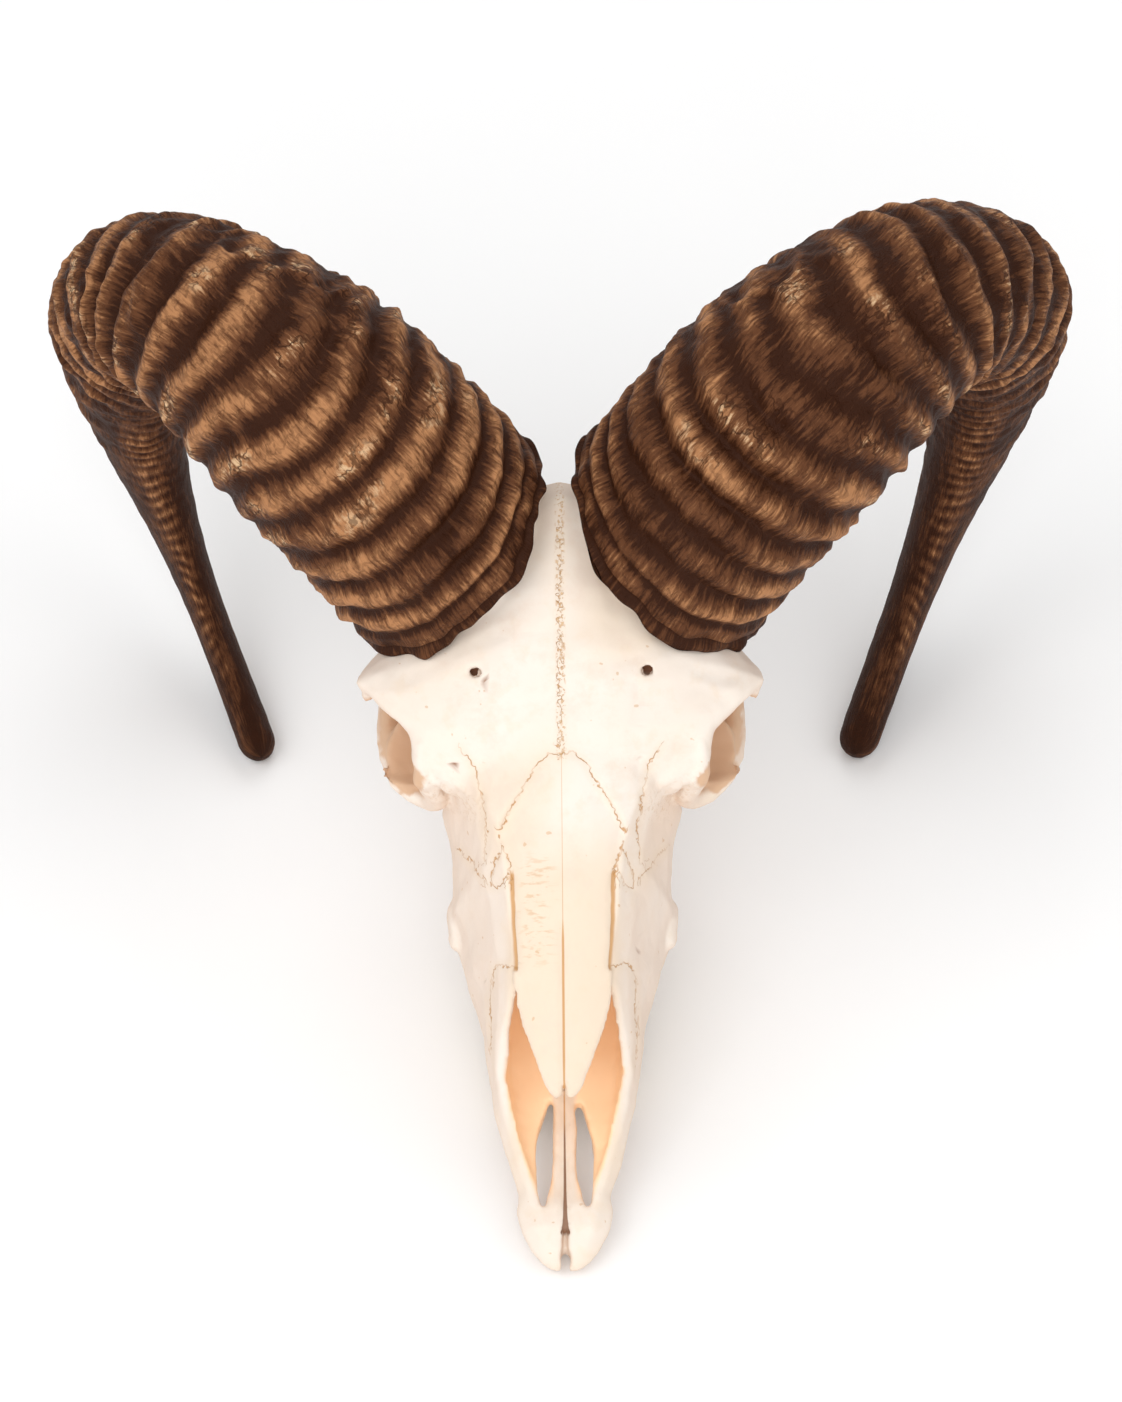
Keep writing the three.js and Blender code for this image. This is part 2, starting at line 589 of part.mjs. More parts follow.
let bone = join([
  faceBody(), roof, ball(BRAINCASE, 1, 14, 11), ball(OCCIPUT, 1, 14, 10),
  limb([[0, 165, 46], [0, 200, 43], [0, 238, 43]], [[6, 13], [7, 12], [7, 15]], [0, 0, 1], 10),
  ...skullParts, pedicle(HORNS.left), pedicle(HORNS.right),
]);
bone = cut(bone, [
  cavityBody(), nasalRoom, vault, ball(CHOANA, 1, 14, 10), ball(NOTCH, 1, 12, 8), wedge, ...fissures,
  ...holes, ...skullCuts, magnum, horn(HORNS.left, SUTURE), horn(HORNS.right, SUTURE),
]);
bone = bone.add(teeth);

const nodes = new Map();
const split = (body, cutPlane, side) => {
  const normal = [0, 1, cutPlane.slope];
  const gap = (SUTURE / 2) * Math.hypot(1, cutPlane.slope);
  if (side < 0) return keepLow(body, normal, cutPlane.place - gap);
  return keepHigh(body, normal, cutPlane.place + gap);
};
const fore = split(bone, MAXILLA_CUT, -1);
nodes.set('cranium', largest(split(bone, MAXILLA_CUT, 1)));
const snout = split(fore, PREMAXILLA_CUT, -1);
const cheeks = split(fore, PREMAXILLA_CUT, 1);
for (const [side, label] of [[-1, 'left'], [1, 'right']]) {
  const half = (body) => keepHigh(body, [side, 0, 0], SUTURE / 2);
  nodes.set(`premaxilla_${label}`, largest(half(snout)));
  nodes.set(`maxilla_${label}`, largest(half(cheeks)));
  nodes.set(`nasal_${label}`, nasals[side < 0 ? 0 : 1]);
  nodes.set(`horn_${label}`, horn(HORNS[label], 0));
}

// The rest pose: the plane through the lowest points of the two horns and of the front teeth
function pointsOf(body) {
  const { vertProperties } = body.getMesh();
  return Array.from({ length: vertProperties.length / 3 }, (_, i) => (
    new THREE.Vector3().fromArray(vertProperties, i * 3)));
}
const supports = [['maxilla_left', 'maxilla_right'], ['horn_left'], ['horn_right']].map(
  (names) => names.flatMap((name) => pointsOf(nodes.get(name))),
);
const lowestPoint = (points, up) => points.reduce((low, p) => (p.dot(up) < low.dot(up) ? p : low));
const restUp = new THREE.Vector3(0, 0.23, 0.97).normalize();
for (let i = 0; i < 20; i += 1) {
  const [front, left, right] = supports.map((points) => lowestPoint(points, restUp));
  restUp.copy(left.clone().sub(front).cross(right.clone().sub(front))).normalize();
  if (restUp.z < 0) restUp.negate();
}
const floor = Math.min(...supports.map((points) => lowestPoint(points, restUp).dot(restUp))) + FLAT_DEPTH;

const toRest = new THREE.Matrix4().makeRotationFromQuaternion(
  new THREE.Quaternion().setFromUnitVectors(restUp, new THREE.Vector3(0, 0, 1)),
);
const extent = new THREE.Box3();
for (const [name, body] of nodes) {
  const low = lowestPoint(pointsOf(body), restUp).dot(restUp);
  const trimmed = low < floor ? keepHigh(body, restUp.toArray(), floor) : body;
  nodes.set(name, trimmed);
  for (const p of pointsOf(trimmed)) extent.expandByPoint(p.applyMatrix4(toRest));
}
const middle = extent.getCenter(new THREE.Vector3());
toRest.premultiply(new THREE.Matrix4().makeTranslation(-middle.x, -middle.y, -extent.min.z));

function toMesh(body, name, color) {
  const { vertProperties, triVerts } = body.getMesh();
  const geometry = new THREE.BufferGeometry();
  geometry.setAttribute('position', new THREE.BufferAttribute(new Float32Array(vertProperties), 3));
  geometry.setIndex(new THREE.BufferAttribute(new Uint32Array(triVerts), 1));
  geometry.applyMatrix4(toRest);
  const mesh = new THREE.Mesh(geometry, new THREE.MeshStandardMaterial({ color, roughness: 0.7 }));
  mesh.name = name;
  return mesh;
}

const group = new THREE.Group();
for (const [name, body] of nodes) {
  group.add(toMesh(body, name, name.startsWith('horn') ? HORN : BONE));
}
export default group;
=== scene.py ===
"""Mouflon skull with curled horns, dressed over the fixed frame of its bones and horns."""

import math
from types import SimpleNamespace

import bmesh
import bpy
import numpy as np
from mathutils import Matrix, Vector


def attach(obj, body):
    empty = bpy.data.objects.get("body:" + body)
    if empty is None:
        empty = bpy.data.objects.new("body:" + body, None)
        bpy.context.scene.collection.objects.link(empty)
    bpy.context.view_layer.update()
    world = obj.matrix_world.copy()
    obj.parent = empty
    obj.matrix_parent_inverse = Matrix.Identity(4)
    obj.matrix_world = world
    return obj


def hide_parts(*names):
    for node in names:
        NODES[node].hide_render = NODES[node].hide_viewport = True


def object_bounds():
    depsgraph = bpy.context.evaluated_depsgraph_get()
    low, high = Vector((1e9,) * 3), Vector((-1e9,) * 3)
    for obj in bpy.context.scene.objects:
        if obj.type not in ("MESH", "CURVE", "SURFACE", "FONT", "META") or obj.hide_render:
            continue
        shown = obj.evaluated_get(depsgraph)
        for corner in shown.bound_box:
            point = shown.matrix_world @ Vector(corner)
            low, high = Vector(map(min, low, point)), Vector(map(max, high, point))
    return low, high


bl_info = {
    "name": "Mouflon Skull",
    "version": (1, 0, 0),
    "blender": (4, 5, 0),
    "location": "View3D > Sidebar > Skull",
    "description": "Builds the bones, horns and stage of a mouflon skull",
    "category": "Object",
}

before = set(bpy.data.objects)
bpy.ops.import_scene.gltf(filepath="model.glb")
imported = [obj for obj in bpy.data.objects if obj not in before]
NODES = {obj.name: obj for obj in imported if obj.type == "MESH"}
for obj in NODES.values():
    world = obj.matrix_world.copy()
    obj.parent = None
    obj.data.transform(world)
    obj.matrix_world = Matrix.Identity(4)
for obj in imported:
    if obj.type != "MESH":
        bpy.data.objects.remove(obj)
START_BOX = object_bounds()

MM = 0.001
# The rest pose: the skull-frame direction that points up, then the shift in millimetres
REST_UP = np.array([0.0020151662209781764, 0.23526165755388034, 0.9719299828640449])
REST_SHIFT = np.array([-0.5894147458086394, -156.88224432798503, -15.587286160456998])
# The face plane's tilt, and the viewer's distance, level, height up the plane, roll and lens
VIEW_TILT = math.radians(28)
VIEW_DISTANCE = 1700.0
VIEW_LEVEL = 18.0
VIEW_CENTRE = 191.8
VIEW_ROLL = math.radians(-0.47)
LENS, SENSOR_HEIGHT, CLIP_END = 136.4, 36, 50

# Horn coil, as in the frame
COIL = {
    "centre": (-61.5, 269.1, -53.4), "azimuth": 3.73, "elevation": 0.095, "start": -0.507, "sweep": 4.261,
    "radius": 84.3, "decay": -0.143, "rise": 70.05, "rise_growth": 11.5,
}
# Each horn's own drift off the coil, across and up the face, then its half-sizes along and across the curl
HORNS = {
    "left": {
        "side": -1, "seed": 11, "shade": 1.0,
        "across": ((0, -3.4), (0.15, -0.4), (0.3, -0.2), (0.4, 1.1), (0.5, 1.1), (0.6, 0.6), (0.8, 1.3),
                   (1, 0.5)),
        "up": ((0, 4.8), (0.15, 1.9), (0.3, 0.7), (0.4, -0.4), (0.5, -2.1), (0.6, -1), (0.8, 0.5), (1, -0.2)),
        "width": ((0, 40), (0.07, 40.3), (0.18, 39.8), (0.32, 32), (0.48, 26), (0.64, 17.4), (0.82, 7.2),
                  (1, 6.3)),
        "depth": ((0, 37), (0.2, 37.9), (0.4, 29.1), (0.6, 27.2), (0.8, 17), (1, 7.1)),
    },
    "right": {
        "side": 1, "seed": 47, "shade": 0.9,
        "across": ((0, -2.7), (0.15, 1.2), (0.3, 1.4), (0.4, 1.2), (0.5, -0.3), (0.6, -0.4), (0.8, 2.8),
                   (1, 2.9)),
        "up": ((0, 5.7), (0.15, 3.9), (0.3, 3.4), (0.4, 1), (0.5, -1.9), (0.6, 0), (0.8, 1.1), (1, -0.8)),
        "width": ((0, 40.2), (0.07, 40.4), (0.18, 40.3), (0.32, 33.1), (0.48, 26.8), (0.64, 18.3),
                  (0.82, 8.7), (1, 6.8)),
        "depth": ((0, 36.4), (0.2, 38.7), (0.4, 28.9), (0.6, 26.9), (0.8, 17.6), (1, 7.1)),
    },
}
BASE_SINK, BASE_SINK_FADE = 14.0, 0.14
BASE_SLANT, BASE_SLANT_FADE = 0.21, 0.12
TIP_ROUNDING = 0.018
HORN_LENGTH = 395.0
RIDGES, RIDGED_TO, RIDGE_CROWDING = 23, 0.82, 0.9
# Where the ridges take on their bow and lean, and lose them: shares of the horn's length
RIDGE_ONSET, RIDGE_CALM, RIDGE_FADES = 0.06, 0.6, 0.5
# How far they bow and lean, in ridges, and how unevenly they wander
RIDGE_BULGE, RIDGE_BULGE_REACH = 1.1, 0.45
RIDGE_LEAN, RIDGE_LEAN_TURN = 0.18, 9
RIDGE_BEND, RIDGE_KINK = 0.13, 0.035
# Valleys and crests in millimetres, and how blunt the crests are, first and farther up
RIDGE_LOW, RIDGE_TALL = -2.0, 3.4
RIDGE_BLUNT, RIDGE_SHARPER, RIDGE_SHARPENS = 0.65, 0.55, (0.08, 0.4)
# Forks, where a second, slower count of ridges takes over
FORK_RATE, FORK_SHIFT, FORK_ANGLE = 0.9, 0.35, 1.5
FORK_EDGE, FORK_START = (0.7, 0.85), (0.04, 0.09)
# The ridged face turns with the curl: share of the length, then angle
FACE_TURN = ((0, 0), (0.2, -0.17), (0.3, -0.31), (0.4, -0.62))
INNER_ANGLE, INNER_WIDTH = -2.8, 0.9
LUMP_TALL, KNOB_TALL, LUMP_SQUEEZE = 0.32, 0.17, 1.6
# The smooth far part: its beaded keel and dark strip
KEEL_START, KEEL_END = (0.52, 0.66), (0.86, 0.98)
KEEL_ANGLE, KEEL_WIDTH, KEEL_TALL = -2.75, 0.42, 0.8
BEAD_SPACING, BEAD_TALL, BEAD_WANDER = 5.6, 0.7, 1.2
STRIP_ANGLE, STRIP_WIDTH, STRIP_DEPTH = 2.45, 0.75, 0.5
FLAKE_START, FLAKE_END, FLAKE_EDGE = (0.06, 0.14), (0.42, 0.5), (0.3, 1.1)
# The base: ends of the cuff and its rim, then each crease's place and width, in millimetres along the horn
CUFF_END, RIM_END = (8, 11), (1.8, 2.8)
CREASES, CREASE_DEPTH = ((2.8, 0.5), (8.5, 0.8)), 1.1
BASE_WAVE_FADE = 0.03
# Half-width of the horn from which its relief has full height, and the ring on which the swells are drawn
FULL_RELIEF, RING_RADIUS = 16, 30
# Random swells on the horns: spacing in millimetres, then the number added to the horn's seed
HORN_SWELLS = {
    "bend": (60, 0), "kink": (20, 1), "strength": (45, 2), "lump": (14, 3), "knob": (6, 4),
    "bead": (34, 5), "cuff": (12, 6), "fork": (48, 7), "far_tone": (30, 8), "long_wave": (34, 9),
    "short_wave": (9, 10), "rim": (8, 11), "flake": (24, 12), "patch": (40, 13), "cuff_tone": (16, 14),
}
COIL_STEP = 0.002
HORN_RINGS, HORN_SIDES = 520, 186

# Seams between the bones on the right half of the face plane: millimetres from the middle line and up it
SEAMS = {
    "brow": [(0, 173), (0, 246.5)],
    "nose_root": [(0, 175), (4, 175), (7.5, 172.5), (9.5, 168.5), (12, 164), (15, 159.5), (17.5, 156),
                  (19, 151.5), (20.6, 150)],
    "tear_front": [(20.6, 150), (18.5, 145), (16.9, 139), (16.9, 133)],
    "tear_side": [(16.9, 139.5), (20.2, 132.5), (22.6, 132.2), (22.9, 136), (19.5, 145), (21, 150.5)],
    "brow_side": [(32.3, 177), (28, 170.5), (25.5, 161), (24.6, 152), (24.8, 141)],
    "cheek": [(32.8, 144.5), (30, 141.5), (27.8, 138), (24, 134)],
    "snout": [(15.8, 106.7), (20.8, 107.6), (22.4, 105.4), (23.4, 96), (23.6, 87), (23.6, 74)],
}
NO_SEAM, SEAMS_ABOVE, BROW_SEAM_FROM = 30.0, 38, 173
# The slit beside the nasal bones: height up the face plane, then distance from the middle line
SLIT = [(106, 15.4), (121, 16.2), (137, 16.4)]
# Half the gap on the middle line, by height up the face plane: snout wedge, nasal slot, then a closed seam
MIDDLE_GAP = [(20, 0.95), (23, 0.85), (27, 0.6), (35, 0.35), (45, 0.25), (56, 0.15), (66, 0.15), (78, 0.3),
              (116, 0.28), (122, 0.0), (176, -0.05)]
# The eye hollow seen past the brow plate: its jagged upper margin, then its thin outer rim
EYE_MARGIN = [(60, 197), (58.5, 198), (53, 190), (47, 184.5), (46.5, 175), (45, 170), (43.5, 165.5),
              (46, 163), (50, 161.6)]
EYE_EDGE = [(51.5, 162.3), (56, 167.5), (57.8, 174), (58.6, 179), (59.3, 190), (61, 196)]
# Small pushes along the face plane, on both sides: centre, reach, push, and the range of skull heights moved
NUDGES = [
    ((47, 160), (8, 6), (0.5, 1.7), (50, 92)),
    ((36.5, 119), (4.5, 5), (-1.2, -1.0), (22, 56)),
]
NUDGE_FADE = 6
# The inside of the nose by its place along the skull: half its width, then its roof
NOSE_HALF = ((18, 6), (24, 10), (37, 14), (48, 17.5), (57, 20), (67, 21), (77, 21.3), (90, 20.8), (118, 14.5),
             (130, 8))
NOSE_ROOF = ((18, 31), (37, 37), (57, 48), (67, 58), (77, 70), (90, 81), (120, 95), (140, 104))
# Where that inside begins and ends: front, back, bottom and top of the floor, then half the middle wall
NOSE_FRONT, NOSE_BACK, NOSE_BOTTOM, NOSE_FLOOR = (17, 30), (126, 132), (20, 24), (30, 33)
SEPTUM = (3.0, 4.6)
EYE_CENTRE, EYE_RADII = (49, 160, 83), (21, 19, 17)
# The part of the eye hollow that shows past its margin, by skull height
HOLLOW_TOP, HOLLOW_FLOOR = 97, (52, 58)
# Small holes on the face plane: across, up, radius and depth
HOLES = [
    (27.6, 201.4, 1.5, 2.2), (-27.3, 201.2, 1.5, 2.2), (-24.1, 197.9, 0.9, 1.2), (-34.3, 171.6, 0.75, 1.0),
    (33.5, 194.4, 0.5, 0.6), (-26.0, 124.0, 0.45, 0.5), (24.5, 110.8, 0.5, 0.5), (24.0, 189.5, 0.4, 0.4),
]
HOLE_SQUASH = 1.25
# The bones' skin: how much it is swollen before it is joined, the two steps of its rounding, and the height
# in metres under which nothing is raised, so that the resting places stay level
SKIN_SWELLING, RELAX_IN, RELAX_OUT = 0.2, 0.6, 0.615
NO_SWELL_BELOW = 0.004
# Fine relief in millimetres: depth and width of seams, slit, thin eye rim and brow groove
SEAM_DEPTH, SEAM_WIDTH = 0.28, 0.6
SLIT_DEPTH, SLIT_WIDTH = 1.0, 0.8
RIM_THINNED, RIM_REACH, RIM_TOP, RIM_FLOOR = 1.1, 2.2, 94, (58, 64)
# The line down the middle: on the nasal bones and on the snout, by height up the face plane, then the skull
# heights above which it runs
NASALS_FROM, NASALS_TO, NASALS_ABOVE = 60, 176, 55
SNOUT_FROM, SNOUT_TO, SNOUT_ABOVE, SNOUT_BACK = 21, 66, 14, 66
MIDDLE_OPEN_TO = 124
BROW_GROOVE = [(25, 197), (24, 186), (24.5, 172), (25.6, 160)]
GROOVE_DEPTH, GROOVE_WIDTH, GROOVE_ABOVE = 0.45, 1.3, 90
# Low bars on the brow in front of the eye: line, height and width
BROW_BARS = (
    ([(43.4, 166), (36.6, 167.5), (31.8, 165), (27.7, 160)], 0.9, 1.5),
    ([(45, 178), (45.5, 172), (43.4, 166)], 0.6, 1.3),
)
BROW_BARS_ABOVE = 74
# Painted marks. Those of the face lie above one skull height
FACE_ABOVE, BROW_DOTS_FROM = 60, 174
# The nasal bones' warmer tone, partly painted shade: its reach off the middle line, its top, and where it
# starts up the face plane
WARM_SIDE, WARM_TOP, WARM_FROM = 19, 158, (20, 60)
STAIN_CENTRE, STAIN_REACH, STAIN_START, STAIN_END = -8, 5.5, (105, 112), (138, 145)
TEETH_TOP, TEETH_BACK = (8.5, 11.5), 145
POROUS_LINE, POROUS_REACH = [(41, 163), (33, 160), (29, 158)], 4.5
# Random swells on the bones: height where it has one, then spacing and seed
BONE_SWELLS = ((0.16, 21, 5), (0.07, 7, 6))
SOCKET_SWELL = (0.12, 6, 8)
MARGIN_JAG, MARGIN_SWELL = 0.35, (4.5, 31)
WARMTH_SWELL = (60, 12)

# Noise in the bone's colours: scale, detail, and roughness where it isn't the usual one
BONE_NOISE = {
    "broad": (22, 4), "fine": (150, 4), "mottle": (55, 6, 0.7), "specks": (330, 1), "pores": (620, 2),
    "bands": (700, 3), "dots": (950, 2), "zigzag": (520, 1), "wander": (130, 1), "patchy": (260, 2),
    "streaks": (900, 3),
}
BAND_STRETCH, TOOTH_STRETCH = (0.2, 1.0, 1.0), (1, 0.12, 0.5)
# How far the painted seam lines swing off their course in millimetres, and how much more on the brow
SEAM_ZIGZAG, SEAM_WANDER, BROW_SEAM_SWING = 2.6, 2.0, 1.9
# Noise in the horn's colours: weight, stretch, scale, detail and roughness
HORN_NOISE = {
    "fibre": (1.6, (1.0, 1.0, 0.16), 0.95, 4, 0.7),
    "streak": (0.6, (1.0, 1.0, 0.2), 0.42, 3, 0.6),
    "blotch": (1.1, (1.0, 1.0, 0.6), 0.22, 4, 0.65),
    "lump": (0.6, (1.0, 1.0, 1.0), 0.07, 4, 0.6),
}
FLAKE_NOISE = (0.35, 4, 0.7)
CRACK_SCALE, CRACK_WAVE_SCALE, CRACK_WAVE = 0.16, 0.3, 9
BONE_ROUGH, BONE_SPECULAR, GLOW_STRENGTH = 0.6, 0.3, 0.12
HORN_ROUGH, HORN_SPECULAR = 0.5, 0.1

# The stage, in metres and watts: each lamp's name, place, size and power
FLOOR_HALF, WORLD_STRENGTH = 6, 0.6
LAMPS = (
    ("key", (-0.35, -1.25, 1.55), 1.5, 12.5),
    ("low", (0.1, -1.7, 0.5), 1.2, 5),
    ("side", (-1.2, -0.5, 1.7), 1.4, 7),
    ("fill", (1.2, -0.7, 1.7), 1.6, 6),
    ("back", (0.2, 1.5, 1.6), 1.4, 8),
)
LAMP_TARGET = (0, 0, 0.1)


def rest_turn():
    """The rotation that brings REST_UP to straight up by the shortest way."""
    x, y, z = np.cross(REST_UP, (0, 0, 1))
    swing = np.array([[0, -z, y], [z, 0, -x], [-y, x, 0]])
    return np.eye(3) + swing + swing @ swing / (1 + REST_UP[2])


def rest(points):
    """Skull-frame millimetres to the frame's metres."""
    return (points @ rest_turn().T + REST_SHIFT) * MM


def unrest(points):
    """The frame's metres to skull-frame millimetres."""
    return (points / MM - REST_SHIFT) @ rest_turn()


def inside_box(points):
    """The frame's points, held within the box of the fixed solids."""
    low, high = START_BOX
    return np.clip(points, list(low), list(high))


def face_plane(skull):
    """Where skull-frame points show on the face plane, with the viewer's perspective."""
    c, s = math.cos(VIEW_TILT), math.sin(VIEW_TILT)
    up = skull[:, 1] * c + skull[:, 2] * s
    near = VIEW_DISTANCE / (VIEW_DISTANCE - (-skull[:, 1] * s + skull[:, 2] * c - VIEW_LEVEL))
    return skull[:, 0] * near, (up - VIEW_CENTRE) * near + VIEW_CENTRE


def face_to_skull(across, up, out):
    """Skull-frame points from their places across the face plane, up it and out of it."""
    c, s = math.cos(VIEW_TILT), math.sin(VIEW_TILT)
    return np.stack([across, up * c - out * s, up * s + out * c], 1)


def face_direction(up, out):
    """A step up the face plane and out of it, given in millimetres, in the frame's metres."""
    start, end = rest(face_to_skull(np.zeros(2), np.array([0.0, up]), np.array([0.0, out])))
    return end - start


def read(table, at):
    """Smooth reading of a two-column table at many places."""
    xs = np.array([row[0] for row in table], float)
    ys = np.array([row[1] for row in table], float)
    i = np.clip(np.searchsorted(xs, at, side="left") - 1, 0, len(xs) - 2)
    before, after = np.maximum(i - 1, 0), np.minimum(i + 2, len(xs) - 1)
    span = xs[i + 1] - xs[i]
    t = np.clip((at - xs[i]) / span, 0, 1)
    slope_a = (ys[i + 1] - ys[before]) / (xs[i + 1] - xs[before]) * span
    slope_b = (ys[after] - ys[i]) / (xs[after] - xs[i]) * span
    return ((2 * t**3 - 3 * t**2 + 1) * ys[i] + (t**3 - 2 * t**2 + t) * slope_a
            + (3 * t**2 - 2 * t**3) * ys[i + 1] + (t**3 - t**2) * slope_b)


def linear(table, at):
    """Straight-line reading of a two-column table at many places."""
    xs, ys = zip(*table)
    return np.interp(at, xs, ys)


def ripple(coords, scale, seed, waves=14):
    """Smooth random swell of about unit height over any number of coordinates."""
    rng = np.random.default_rng(seed)
    total = np.zeros(len(coords))
    for _ in range(waves):
        direction = rng.normal(size=coords.shape[1])
        direction *= rng.uniform(0.6, 1.5) * 2 * math.pi / scale / np.linalg.norm(direction)
        total += np.sin(coords @ direction + rng.uniform(0, 2 * math.pi))
    return total * math.sqrt(2 / waves)


def smoothstep(x, low, high):
    """Rises smoothly from 0 at low to 1 at high."""
    t = np.clip((x - low) / (high - low), 0, 1)
    return t * t * (3 - 2 * t)


def bell(distance, width):
    """A smooth bump of height 1 over a distance of 0."""
    return np.exp(-((distance / width) ** 2))


def line_distance(x, y, line):
    """Distance from points to a polyline, and which side of it they lie on."""
    best = np.full(len(x), 1e9)
    side = np.ones(len(x))
    for (ax, ay), (bx, by) in zip(line[:-1], line[1:]):
        dx, dy = bx - ax, by - ay
        t = np.clip(((x - ax) * dx + (y - ay) * dy) / (dx * dx + dy * dy), 0, 1)
        px, py = x - ax - t * dx, y - ay - t * dy
        d = np.hypot(px, py)
        closer = d < best
        best = np.where(closer, d, best)
        side = np.where(closer, np.sign(dx * py - dy * px), side)
    return best, side


def inside_outline(x, y, outline):
    """Distance from points to a closed outline, positive inside it."""
    inside = np.zeros(len(x), bool)
    for (ax, ay), (bx, by) in zip(outline, outline[1:] + outline[:1]):
        if ay != by:
            inside ^= ((ay > y) != (by > y)) & (x < ax + (y - ay) / (by - ay) * (bx - ax))
    distance, _ = line_distance(x, y, outline + outline[:1])
    return np.where(inside, distance, -distance)


def add_object(name, mesh):
    thing = bpy.data.objects.new(name, mesh)
    bpy.context.scene.collection.objects.link(thing)
    return thing


def store(mesh, name, values):
    layer = mesh.attributes.new(name, "FLOAT", "POINT")
    layer.data.foreach_set("value", np.ascontiguousarray(values, dtype=np.float32))


def vectors(items, key):
    """One vector for each item of a mesh."""
    flat = np.empty(len(items) * 3, np.float32)
    items.foreach_get(key, flat)
    return flat.reshape(-1, 3).astype(float)


def places(mesh):
    return vectors(mesh.vertices, "co")


def normals(mesh):
    return vectors(mesh.vertex_normals, "vector")


def set_places(mesh, points):
    mesh.vertices.foreach_set("co", np.ascontiguousarray(points, dtype=np.float32).ravel())
    mesh.update()


# Horns


def swell(name, own, coords):
    """One of the named random swells, with the horn's own seed."""
    spacing, number = HORN_SWELLS[name]
    return ripple(coords, spacing, own["seed"] + number)


def coil_point(own, t):
    """Centre line of the horn on the face plane's axes, and the direction away from the coil's axis."""
    azimuth, elevation = COIL["azimuth"], COIL["elevation"]
    axis = np.array([math.cos(elevation) * math.cos(azimuth), math.cos(elevation) * math.sin(azimuth),
                     math.sin(elevation)])
    first = np.array([0, 0, 1.0]) - axis * axis[2]
    first /= np.linalg.norm(first)
    second = np.cross(axis, first)
    turn = COIL["start"] + COIL["sweep"] * t
    reach = COIL["radius"] * np.exp(-COIL["decay"] * t)
    point = (np.array(COIL["centre"]) + (reach * np.cos(turn))[:, None] * first
             + (reach * np.sin(turn))[:, None] * second
             + (COIL["rise"] * t + COIL["rise_growth"] * t * t)[:, None] * axis)
    point[:, 0] += read(own["across"], t)
    point[:, 1] += read(own["up"], t)
    point[:, 2] -= BASE_SINK * np.exp(-t / BASE_SINK_FADE)
    return point, np.cos(turn)[:, None] * first + np.sin(turn)[:, None] * second


def near_angle(angle, centre, width):
    """A smooth bump round the horn, 1 at its centre."""
    return bell(np.angle(np.exp(1j * (angle - centre))), width)


def horn_crests(own, t, angle, around):
    """How high the ridges stand, from 0 to 1. They bow over the face, wander, and fork in places."""
    settle = (1 - np.exp(-t / RIDGE_ONSET)) * (1 - smoothstep(t, RIDGE_CALM, RIDGED_TO))
    bulge = RIDGE_BULGE * bell(t, RIDGE_BULGE_REACH) * np.cos(angle - linear(FACE_TURN, t))
    count = RIDGES * (np.maximum(t, 0) / RIDGED_TO) ** RIDGE_CROWDING
    count = count + settle * (bulge + RIDGE_LEAN * np.sin(angle * 2 + t * RIDGE_LEAN_TURN))
    wander = RIDGE_BEND * swell("bend", own, around) + RIDGE_KINK * swell("kink", own, around)
    count = count + settle * wander
    crest = 0.5 - 0.5 * np.cos(2 * math.pi * count)
    other = 0.5 - 0.5 * np.cos(2 * math.pi * (count * FORK_RATE + FORK_SHIFT))
    forks = smoothstep(0.4 * np.cos(angle - FORK_ANGLE) + 0.5 * swell("fork", own, around), *FORK_EDGE)
    forks = forks * smoothstep(t, *FORK_START)
    crest = crest * (1 - forks) + other * forks
    return crest ** (RIDGE_BLUNT + RIDGE_SHARPER * smoothstep(t, *RIDGE_SHARPENS))


def beaded_keel(own, t, angle, around, height, light):
    """Height and lightness with the beaded keel and the dark strip of the horn's smooth part."""
    late = smoothstep(t, *KEEL_START) * (1 - smoothstep(t, *KEEL_END))
    phase = around[:, 2] / BEAD_SPACING * 2 * math.pi + BEAD_WANDER * swell("bead", own, around)
    bead = 0.5 + 0.5 * np.cos(phase)
    keel = near_angle(angle, KEEL_ANGLE, KEEL_WIDTH)
    strip = near_angle(angle, STRIP_ANGLE, STRIP_WIDTH) * late
    height = height + late * keel * (KEEL_TALL + BEAD_TALL * bead) - STRIP_DEPTH * strip
    # Lighter on the beads: their golden tone, partly a painted highlight on their tops
    light = light * (1 - 0.7 * late * keel) + late * keel * (0.3 + 0.75 * bead) * 0.9
    return height, light * (1 - 0.75 * strip)


def base_cuff(own, along, around, height, light):
    """Height and lightness with the worn cuff at the horn's base, its rim and its two creases."""
    cuff = 1 - smoothstep(along, *CUFF_END)
    rim = 1 - smoothstep(along, *RIM_END)
    crease = sum(bell(along - place, width) for place, width in CREASES)
    height = height * (1 - cuff) + cuff * (0.5 + 0.4 * swell("cuff", own, around))
    height += rim * (0.7 + 0.6 * swell("rim", own, around)) - CREASE_DEPTH * crease
    light = light * (1 - cuff) + cuff * (0.5 + 0.15 * swell("cuff_tone", own, around))
    # Darker at the rim and in the creases: the base's dark rings, with painted shade in the creases
    return height, light * (1 - 0.5 * rim) - 0.65 * crease


